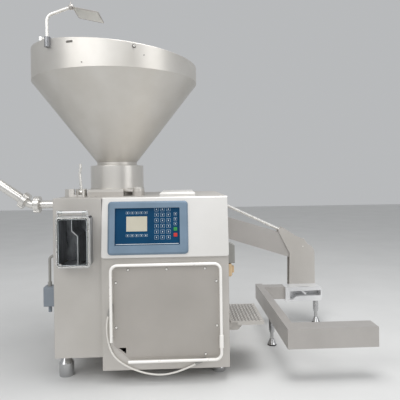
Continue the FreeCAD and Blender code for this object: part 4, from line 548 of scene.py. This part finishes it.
def fastener_tree():
    """Heads on a mesh's points, with a bevelled edge and a sunk drive."""
    tree, given, result = new_tree("fastener_heads", Sides="Int", Radius="Float", Height="Float",
                                   Drive="Float", Depth="Float", Turn="Vector")
    disc = add(tree, "GeometryNodeMeshCircle",
               {"Vertices": given.outputs["Sides"], "Radius": given.outputs["Radius"]},
               fill_type="NGON")
    body = add(tree, "GeometryNodeExtrudeMesh",
               {"Mesh": disc.outputs["Mesh"], "Offset Scale": given.outputs["Height"]}, mode="FACES")
    edge_height = add(tree, "ShaderNodeMath", {0: given.outputs["Height"]}, operation="MULTIPLY")
    edge_height.inputs[1].default_value = BEVEL_HEIGHT
    edge = add(tree, "GeometryNodeExtrudeMesh",
               {"Mesh": body.outputs["Mesh"], "Selection": body.outputs["Top"],
                "Offset Scale": edge_height.outputs["Value"]}, mode="FACES")
    drawn = add(tree, "GeometryNodeScaleElements",
                {"Geometry": edge.outputs["Mesh"], "Selection": edge.outputs["Top"]},
                Scale=BEVEL_DRAWN)
    ring = add(tree, "GeometryNodeExtrudeMesh",
               {"Mesh": drawn.outputs["Geometry"], "Selection": edge.outputs["Top"]},
               mode="FACES", Offset_Scale=0.0)
    shrunk = add(tree, "GeometryNodeScaleElements",
                 {"Geometry": ring.outputs["Mesh"], "Selection": ring.outputs["Top"],
                  "Scale": given.outputs["Drive"]})
    sunk = add(tree, "GeometryNodeExtrudeMesh",
               {"Mesh": shrunk.outputs["Geometry"], "Selection": ring.outputs["Top"],
                "Offset Scale": given.outputs["Depth"]}, mode="FACES")
    placed = add(tree, "GeometryNodeInstanceOnPoints",
                 {"Points": given.outputs["Geometry"],
                  "Instance": close_below(tree, sunk.outputs["Mesh"], disc.outputs["Mesh"]),
                  "Rotation": given.outputs["Turn"]})
    close_tree(tree, given, result, placed.outputs["Instances"])
    return tree


fasteners = fastener_tree()


def heads(name, body, places, material, radius, height, sides=30, drive=0.5, depth=-0.5,
          turn=(0, 0, 0)):
    """Fastener heads in millimetres; drive is a share of the radius, depth of the height."""
    piece = run_tree(fasteners, name, points_mesh(name, [at(*place) for place in places]), {
        "Sides": sides, "Radius": radius * MM, "Height": height * MM, "Drive": drive,
        "Depth": depth * height * MM, "Turn": turn, "Material": material,
    })
    return settle(piece, body)


# %% [markdown]
# Eight screws hold the front service panel and nine the rear panel, all of one kind. The front ones
# stand for the CAD screws, so they take their places, and a thin dark ring under each is painted
# shadow round its head.

# %% Panel screws
SCREWS = [(411, 627), (623, 627), (835, 627), (344, 557), (344, 312), (898, 556), (898, 309),
          (833, 153)]
SCREW = {"radius": 6.4, "height": 2.6}
PANEL_FRONT, REAR_FACE = -24, 960
FACING_FRONT = (math.pi / 2, 0, 0)
FACING_BACK = (-math.pi / 2, 0, 0)
FACING_RIGHT = (0, math.pi / 2, 0)
front_places = [(x, PANEL_FRONT, z) for x, z in SCREWS]
panel_screws = heads("panel_screws", "machine", front_places, bright_steel, **SCREW,
                     turn=FACING_FRONT)
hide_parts("cover_screws")
# Painted shadow: a dark ring, wider than the head, lies under each front screw.
heads("painted_screw_shadows", "machine", front_places, seam_and_shadow_steel, 8.6, 0.7, drive=0.8, depth=-0.2,
      turn=FACING_FRONT)

rear_places = [(x, REAR_FACE, z) for x in (13, 485, 956) for z in (95, 550, 1005)]
heads("rear_screws", "machine", rear_places, bright_steel, **SCREW, turn=FACING_BACK)

# %% [markdown]
# Other small heads sit on curved or turned faces: a ringed stud, a plug and a bolt end on the
# hopper's band, two hexagon bolts on the mast and the four screws of the main switch. A head on the
# band is turned about the upright axis until it faces away from the hopper's middle.

# %% Studs and bolts
BAND_FITTINGS = [  # name, place, direction on the band in degrees, radius, height, finish
    ("band_ring", (461.2, -27, 1857.6), -71.5, 11, 1.5, seam_and_shadow_steel),
    ("band_stud", (461.7, -28.4, 1857.6), -71.5, 7, 5, bright_steel),
    ("band_plug", (513.7, -6.2, 1813.6), -65.3, 3, 1, seam_and_shadow_steel),
    ("band_bolt", (177.9, -41.1, 1766.8), -102.9, 3.5, 2, seam_and_shadow_steel),
]
for name, place, angle, radius, height, material in BAND_FITTINGS:
    heads(name, "hopper", [place], material, radius, height, drive=0.6,
          turn=(math.pi / 2, 0, math.radians(angle + 90)))
MAST_BOLTS = [(1658.6, 995, 579), (1664.9, 995, 640)]
heads("mast_bolts", "head", MAST_BOLTS, bright_steel, 5, 2.5, sides=6, drive=0.55,
      turn=FACING_FRONT)
SWITCH_SCREWS = [(1001, y, z) for z in (610, 560) for y in (118, 182)]
heads("switch_screws", "machine", SWITCH_SCREWS, seam_and_shadow_steel, 3.2, 1.2, turn=FACING_RIGHT)

# %% [markdown]
# Keys, small plates and the field under the tread marks are all rounded tiles: a rectangle whose
# corners are rounded, filled and lifted, with its top drawn in a little so that the edge catches
# light. One tree makes them all.

# %% Tree: rounded tiles on points
TILE_TOP = 0.9  # as a share of the tile's size


def tile_tree():
    """Rounded tiles on a mesh's points."""
    tree, given, result = new_tree("rounded_tiles", Width="Float", Length="Float", Corner="Float",
                                   Height="Float", Turn="Vector")
    frame_line = add(tree, "GeometryNodeCurvePrimitiveQuadrilateral",
                     {"Width": given.outputs["Width"], "Height": given.outputs["Length"]})
    rounded = add(tree, "GeometryNodeFilletCurve",
                  {"Curve": frame_line.outputs["Curve"], "Radius": given.outputs["Corner"]},
                  mode="POLY", Count=4)
    filled = add(tree, "GeometryNodeFillCurve", {"Curve": rounded.outputs["Curve"]}, mode="NGONS")
    lifted = add(tree, "GeometryNodeExtrudeMesh",
                 {"Mesh": filled.outputs["Mesh"], "Offset Scale": given.outputs["Height"]},
                 mode="FACES")
    top = add(tree, "GeometryNodeScaleElements",
              {"Geometry": lifted.outputs["Mesh"], "Selection": lifted.outputs["Top"]},
              Scale=TILE_TOP)
    placed = add(tree, "GeometryNodeInstanceOnPoints",
                 {"Points": given.outputs["Geometry"],
                  "Instance": close_below(tree, top.outputs["Geometry"], filled.outputs["Mesh"]),
                  "Rotation": given.outputs["Turn"]})
    close_tree(tree, given, result, placed.outputs["Instances"])
    return tree


tiles = tile_tree()


def tiles_on(name, places, material, width, length, corner, height, turn=(0, 0, 0)):
    """Tiles at places in the scene, with their sizes in millimetres."""
    return run_tree(tiles, name, points_mesh(name, places), {
        "Width": width * MM, "Length": length * MM, "Corner": corner * MM, "Height": height * MM,
        "Turn": turn, "Material": material,
    })


# %% [markdown]
# A small dark slot plate lies on the hopper's band, left of the middle. It is one tile, turned as
# the studs are.

# %% Slot plate near the hopper's rim
RIM_PLATE_PLACE, RIM_PLATE_TURN = at(108, -20.3, 1885), math.radians(-20.5)
rim_plate = tiles_on("rim_plate", [RIM_PLATE_PLACE], seam_and_shadow_steel, 42, 12, 5.5, 1.2,
                     (math.pi / 2, 0, RIM_PLATE_TURN))
settle(rim_plate, "hopper")

# %% [markdown]
# The clear lid of the vacuum vessel has a thick polished edge that catches the light all round, and
# the seal under it shows as a second line. Both are the same rule: a rectangle with rounded corners,
# swept with a round section.

# %% Tree: rounded frames
def frame_tree():
    """Rounded rectangles of round bar on a mesh's points."""
    tree, given, result = new_tree("rounded_frames", Width="Float", Length="Float", Corner="Float",
                                   Section="Float", Turn="Vector")
    outline = add(tree, "GeometryNodeCurvePrimitiveQuadrilateral",
                  {"Width": given.outputs["Width"], "Height": given.outputs["Length"]})
    rounded = add(tree, "GeometryNodeFilletCurve",
                  {"Curve": outline.outputs["Curve"], "Radius": given.outputs["Corner"]},
                  mode="POLY", Count=8)
    section = add(tree, "GeometryNodeCurvePrimitiveCircle", {"Radius": given.outputs["Section"]},
                  Resolution=12)
    swept = add(tree, "GeometryNodeCurveToMesh",
                {"Curve": rounded.outputs["Curve"], "Profile Curve": section.outputs["Curve"]})
    placed = add(tree, "GeometryNodeInstanceOnPoints",
                 {"Points": given.outputs["Geometry"], "Instance": swept.outputs["Mesh"],
                  "Rotation": given.outputs["Turn"]})
    close_tree(tree, given, result, placed.outputs["Instances"])
    return tree


frames = frame_tree()

# %% The lid's edge and seal
LID_MIDDLE = (128, 793.5)
LID_FRONT = -99.3
LID_FRAMES = [  # name, distance behind the lid's front, width, length, corner, section, finish
    ("lid_edge", 3.6, 166, 259, 13, 3.5, bright_steel),
    ("lid_seal", 7.5, 150, 243, 9, 1.6, key_white),
]
for name, out, width, length, corner, section, material in LID_FRAMES:
    middle = at(LID_MIDDLE[0], LID_FRONT + out, LID_MIDDLE[1])
    ring = run_tree(frames, name, points_mesh(name, [middle]), {
        "Width": width * MM, "Length": length * MM, "Corner": corner * MM, "Section": section * MM,
        "Turn": FACING_FRONT, "Material": material,
    })
    settle(ring, "lid")

# %% [markdown]
# The keypad is a flat film with raised keys on the control box's face, which leans back. A key's
# place is written along that face and up it, as on a drawing of the keypad, and one helper turns it
# into a place in the scene. Each key is three tiles: a pale rim, a dark face and a small plain mark.

# %% The leaning face of the control box
FACE_LOW, FACE_HIGH = (-40, 694), (12, 1018)
LEAN = math.atan2(FACE_HIGH[0] - FACE_LOW[0], FACE_HIGH[1] - FACE_LOW[1])
FACE_TURN = (math.pi / 2 - LEAN, 0, 0)
SEAM_X = 267     # the left edge of the control box
PLATE_OUT = 5.0  # the keypad plate's front, out from the box


def on_face(along, rise, out=PLATE_OUT):
    """A place on the leaning face: along it, up it, and out from it, in millimetres."""
    return at(SEAM_X + along, FACE_LOW[0] + rise * math.sin(LEAN) - out * math.cos(LEAN),
              FACE_LOW[1] + rise * math.cos(LEAN) + out * math.sin(LEAN))


def keys(name, places, material, width, length, corner=2.0, height=1.0, out=PLATE_OUT):
    """Tiles on the leaning face, with places along it and up it."""
    piece = tiles_on(name, [on_face(along, rise, out) for along, rise in places], material,
                     width, length, corner, height, FACE_TURN)
    return settle(piece, "machine")


print("the face leans back by", round(math.degrees(LEAN), 1), "degrees")

# %% Keys
KEY_PITCH = (33, 31)
KEY_START = (304, 110)
number_places = [(KEY_START[0] + KEY_PITCH[0] * column, KEY_START[1] + KEY_PITCH[1] * row)
                 for row in range(6) for column in range(3)]
SCREEN_MIDDLE, FUNCTION_PITCH = 195, 25
function_places = [(SCREEN_MIDDLE + FUNCTION_PITCH * step, rise)
                   for step in (-2, -1, 0, 1, 2) for rise in (122, 247)]
arrow_places = [(408, rise) for rise in (238, 210, 184)]
KEY_GROUPS = [("number", number_places, 23, 21), ("function", function_places, 20, 14),
              ("arrow", arrow_places, 18, 18)]
RIM_SHOWS = 2.6  # both sides of the pale rim together
FACE_OUT, FACE_HEIGHT = PLATE_OUT + 0.9, 0.5
for name, places, width, length in KEY_GROUPS:
    keys(f"{name}_keys", places, key_pale, width, length)
    keys(f"{name}_faces", places, key_dark, width - RIM_SHOWS, length - RIM_SHOWS, 1.6,
         FACE_HEIGHT, FACE_OUT)
    keys(f"{name}_marks", places, key_white, 3.6, 7, 1.2, 0.2, FACE_OUT + FACE_HEIGHT)
# Painted highlight: a thin white strip along the window's bottom edge stands for its lit inner edge.
keys("window_edge_highlight", [(253, 75)], key_white, 346, 3.2, 1.2, 1.4)

# %% [markdown]
# The hopper is a rolled cone welded to a straight band, and its rim is cut at a slant. The sheet's
# raw edge is turned over into a bead. The bead follows a rule, a circle whose height falls evenly
# across the hopper, so a node tree makes it: a circle is lowered along X and swept. The welds at the
# band and at the cone's foot, and the ring on the neck, are the same bead without the fall.

# %% Tree: beads round the hopper
HOPPER = (294.5, 470.8)
HOPPER_RADIUS = 525
RIM_LEFT, RIM_RIGHT = 1938, 1842
BAND_LOW = 1743


def bead_tree():
    """A circle of round bar, which falls evenly along X."""
    tree, given, result = new_tree("hopper_beads", Radius="Float", Bead="Float", Slope="Float")
    ring = add(tree, "GeometryNodeCurvePrimitiveCircle", {"Radius": given.outputs["Radius"]},
               Resolution=160)
    place = add(tree, "GeometryNodeInputPosition")
    parts = add(tree, "ShaderNodeSeparateXYZ", {"Vector": place.outputs["Position"]})
    fall = add(tree, "ShaderNodeMath", {0: parts.outputs["X"], 1: given.outputs["Slope"]},
               operation="MULTIPLY")
    shift = add(tree, "ShaderNodeCombineXYZ", {"Z": fall.outputs["Value"]})
    leaned = add(tree, "GeometryNodeSetPosition",
                 {"Geometry": ring.outputs["Curve"], "Offset": shift.outputs["Vector"]})
    section = add(tree, "GeometryNodeCurvePrimitiveCircle", {"Radius": given.outputs["Bead"]},
                  Resolution=12)
    swept = add(tree, "GeometryNodeCurveToMesh",
                {"Curve": leaned.outputs["Geometry"], "Profile Curve": section.outputs["Curve"]})
    close_tree(tree, given, result, swept.outputs["Mesh"])
    return tree


beads = bead_tree()


def bead(name, height, radius, thickness, slope=0.0):
    """A bead round the hopper's axis, at a height and a radius in drawing millimetres."""
    piece = run_tree(beads, name, points_mesh(name, [(0, 0, 0)]), {
        "Radius": radius * MM, "Bead": thickness * MM, "Slope": slope, "Material": cone_steel,
    })
    return settle(piece, "hopper", Matrix.Translation(at(*HOPPER, height)))


# %% Beads
RIM_SLOPE = (RIM_RIGHT - RIM_LEFT) / (2 * HOPPER_RADIUS)
RIM_BEAD = 4.5
bead("rim_bead", (RIM_LEFT + RIM_RIGHT) / 2, HOPPER_RADIUS - RIM_BEAD, RIM_BEAD, RIM_SLOPE)
BAND_BEAD = 2.2
bead("band_weld", BAND_LOW, HOPPER_RADIUS - BAND_BEAD, BAND_BEAD)
CONE_FOOT_HEIGHT, CONE_FOOT_RADIUS = 1215, 128.5
bead("cone_weld", CONE_FOOT_HEIGHT, CONE_FOOT_RADIUS, 2.5)
NECK_RING_HEIGHT, NECK_RADIUS = 1067, 171
bead("neck_ring", NECK_RING_HEIGHT, NECK_RADIUS, 2.0)

# %% [markdown]
# The step has raised marks so that a wet boot holds. They lie in rows, turned left and right by
# turns. A grid of points carries flattened drops, and whether a point's number and its column add
# up to an even number or an odd one gives the turn.

# %% Tree: tread marks
STEP_X, STEP_Y, STEP_TOP = (983, 1175), (50, 415), 303
STEP_MIDDLE = at(sum(STEP_X) / 2, sum(STEP_Y) / 2, STEP_TOP)
EIGHTH_TURN = 0.785  # 45 degrees in radians


def tread_tree():
    """Flattened drops on a grid, turned left and right by turns."""
    tree, given, result = new_tree("tread_marks", Width="Float", Length="Float", Columns="Int",
                                   Rows="Int", Size="Vector")
    grid = add(tree, "GeometryNodeMeshGrid", {
        "Size X": given.outputs["Width"], "Size Y": given.outputs["Length"],
        "Vertices X": given.outputs["Columns"], "Vertices Y": given.outputs["Rows"],
    })
    drop = add(tree, "GeometryNodeMeshUVSphere", Segments=8, Rings=5, Radius=1.0)
    number = add(tree, "GeometryNodeInputIndex")
    column = add(tree, "ShaderNodeMath", {0: number.outputs["Index"], 1: given.outputs["Rows"]},
                 operation="DIVIDE")
    whole = add(tree, "ShaderNodeMath", {0: column.outputs["Value"]}, operation="FLOOR")
    total = add(tree, "ShaderNodeMath", {0: number.outputs["Index"], 1: whole.outputs["Value"]},
                operation="ADD")
    parity = add(tree, "ShaderNodeMath", {0: total.outputs["Value"]}, operation="MODULO")
    parity.inputs[1].default_value = 2
    angle = add(tree, "ShaderNodeMapRange", {"Value": parity.outputs["Value"]},
                To_Min=-EIGHTH_TURN, To_Max=EIGHTH_TURN)
    turn = add(tree, "ShaderNodeCombineXYZ", {"Z": angle.outputs["Result"]})
    placed = add(tree, "GeometryNodeInstanceOnPoints", {
        "Points": grid.outputs["Mesh"], "Instance": drop.outputs["Mesh"],
        "Rotation": turn.outputs["Vector"], "Scale": given.outputs["Size"],
    })
    close_tree(tree, given, result, placed.outputs["Instances"])
    return tree


# %% Tread
FIELD_MARGIN, MARKS_MARGIN = 10, 16
MARK_HALVES = (0.0095, 0.0034, 0.0017)  # half the length, width and height
step_width, step_length = STEP_X[1] - STEP_X[0], STEP_Y[1] - STEP_Y[0]
tread_field = tiles_on("tread_field", [STEP_MIDDLE], tread_steel, step_width - 2 * FIELD_MARGIN,
                       step_length - 2 * FIELD_MARGIN, 6, 0.4)
settle(tread_field, "step")
tread_marks = run_tree(tread_tree(), "tread_marks", points_mesh("tread_marks", [(0, 0, 0)]), {
    "Width": (step_width - 2 * MARKS_MARGIN) * MM, "Length": (step_length - 2 * MARKS_MARGIN) * MM,
    "Columns": 9, "Rows": 19, "Size": MARK_HALVES, "Material": bright_steel,
})
settle(tread_marks, "step", Matrix.Translation(STEP_MIDDLE))

# %% [markdown]
# ## Floor
# A plain pale floor takes the shadow, and steel needs it as well, because a smooth piece shows what
# lies in front of it. It reaches far enough to meet the world at the horizon, and it lies half a
# millimetre under the feet, so that no foot shares a plane with it.

# %% Floor
FLOOR_HALF = 14
FLOOR_LEVEL = -0.0005
floor_mesh = bpy.data.meshes.new("floor")
floor_corners = [(x * FLOOR_HALF, y * FLOOR_HALF, 0)
                 for x, y in ((-1, -1), (1, -1), (1, 1), (-1, 1))]
floor_mesh.from_pydata(floor_corners, [], [(0, 1, 2, 3)])
floor = bpy.data.objects.new("floor", floor_mesh)
floor.location.z = FLOOR_LEVEL
scene.collection.objects.link(floor)
floor_paint, floor_nodes, floor_shader, floor_place = new_material("floor_paint")
floor_clouds = spread(floor_nodes, noise(floor_nodes, floor_place, scale=2, detail=6), 0, 1)
floor_nodes.links.new(two_colours(floor_nodes, floor_clouds, linear("dcdcdb"), linear("d7d7d6")),
                      floor_shader.inputs["Base Color"])
floor_shader.inputs["Roughness"].default_value = 0.75
finish(floor, floor_paint)
print("floor of", 2 * FLOOR_HALF, "metres")

# %% [markdown]
# ## Light
# The light is large and soft, as in a studio. A big key lamp stands at the upper left, a weaker one
# fills from the right, a small one in front wakes the steel, and one above lights the top plate and
# the step. The world gives the rest evenly, so that a colour shows about as it is written and
# nothing clips to white.

# %% Lamps and world
WORLD_COLOUR, WORLD_STRENGTH = "e4e6e8", 0.62


def lamp(name, place, aim, width, height, power):
    """A rectangular lamp, turned so that it looks at a point."""
    data = bpy.data.lights.new(name, "AREA")
    data.shape = "RECTANGLE"
    data.size = width
    data.size_y = height
    data.energy = power
    thing = bpy.data.objects.new(name, data)
    thing.location = place
    thing.rotation_euler = (Vector(aim) - Vector(place)).to_track_quat("-Z", "Y").to_euler()
    scene.collection.objects.link(thing)


lamp("key_lamp", (-2.5, -3.5, 3.7), (0, 0, 0.9), 4.0, 2.2, 78)
lamp("front_lamp", (0.1, -4.4, 2.6), (-0.2, 0, 1.3), 2.2, 1.6, 14)
lamp("fill_lamp", (3.6, -2.8, 2.4), (0.1, 0, 0.9), 2.4, 2.0, 34)
lamp("top_lamp", (0.7, -0.6, 4.6), (0.3, 0, 1.0), 2.5, 2.5, 100)

world = bpy.data.worlds.new("studio")
scene.world = world
world.use_nodes = True
background = world.node_tree.nodes["Background"]
background.inputs["Color"].default_value = linear(WORLD_COLOUR)
background.inputs["Strength"].default_value = WORLD_STRENGTH
scene.view_settings.view_transform = "Standard"
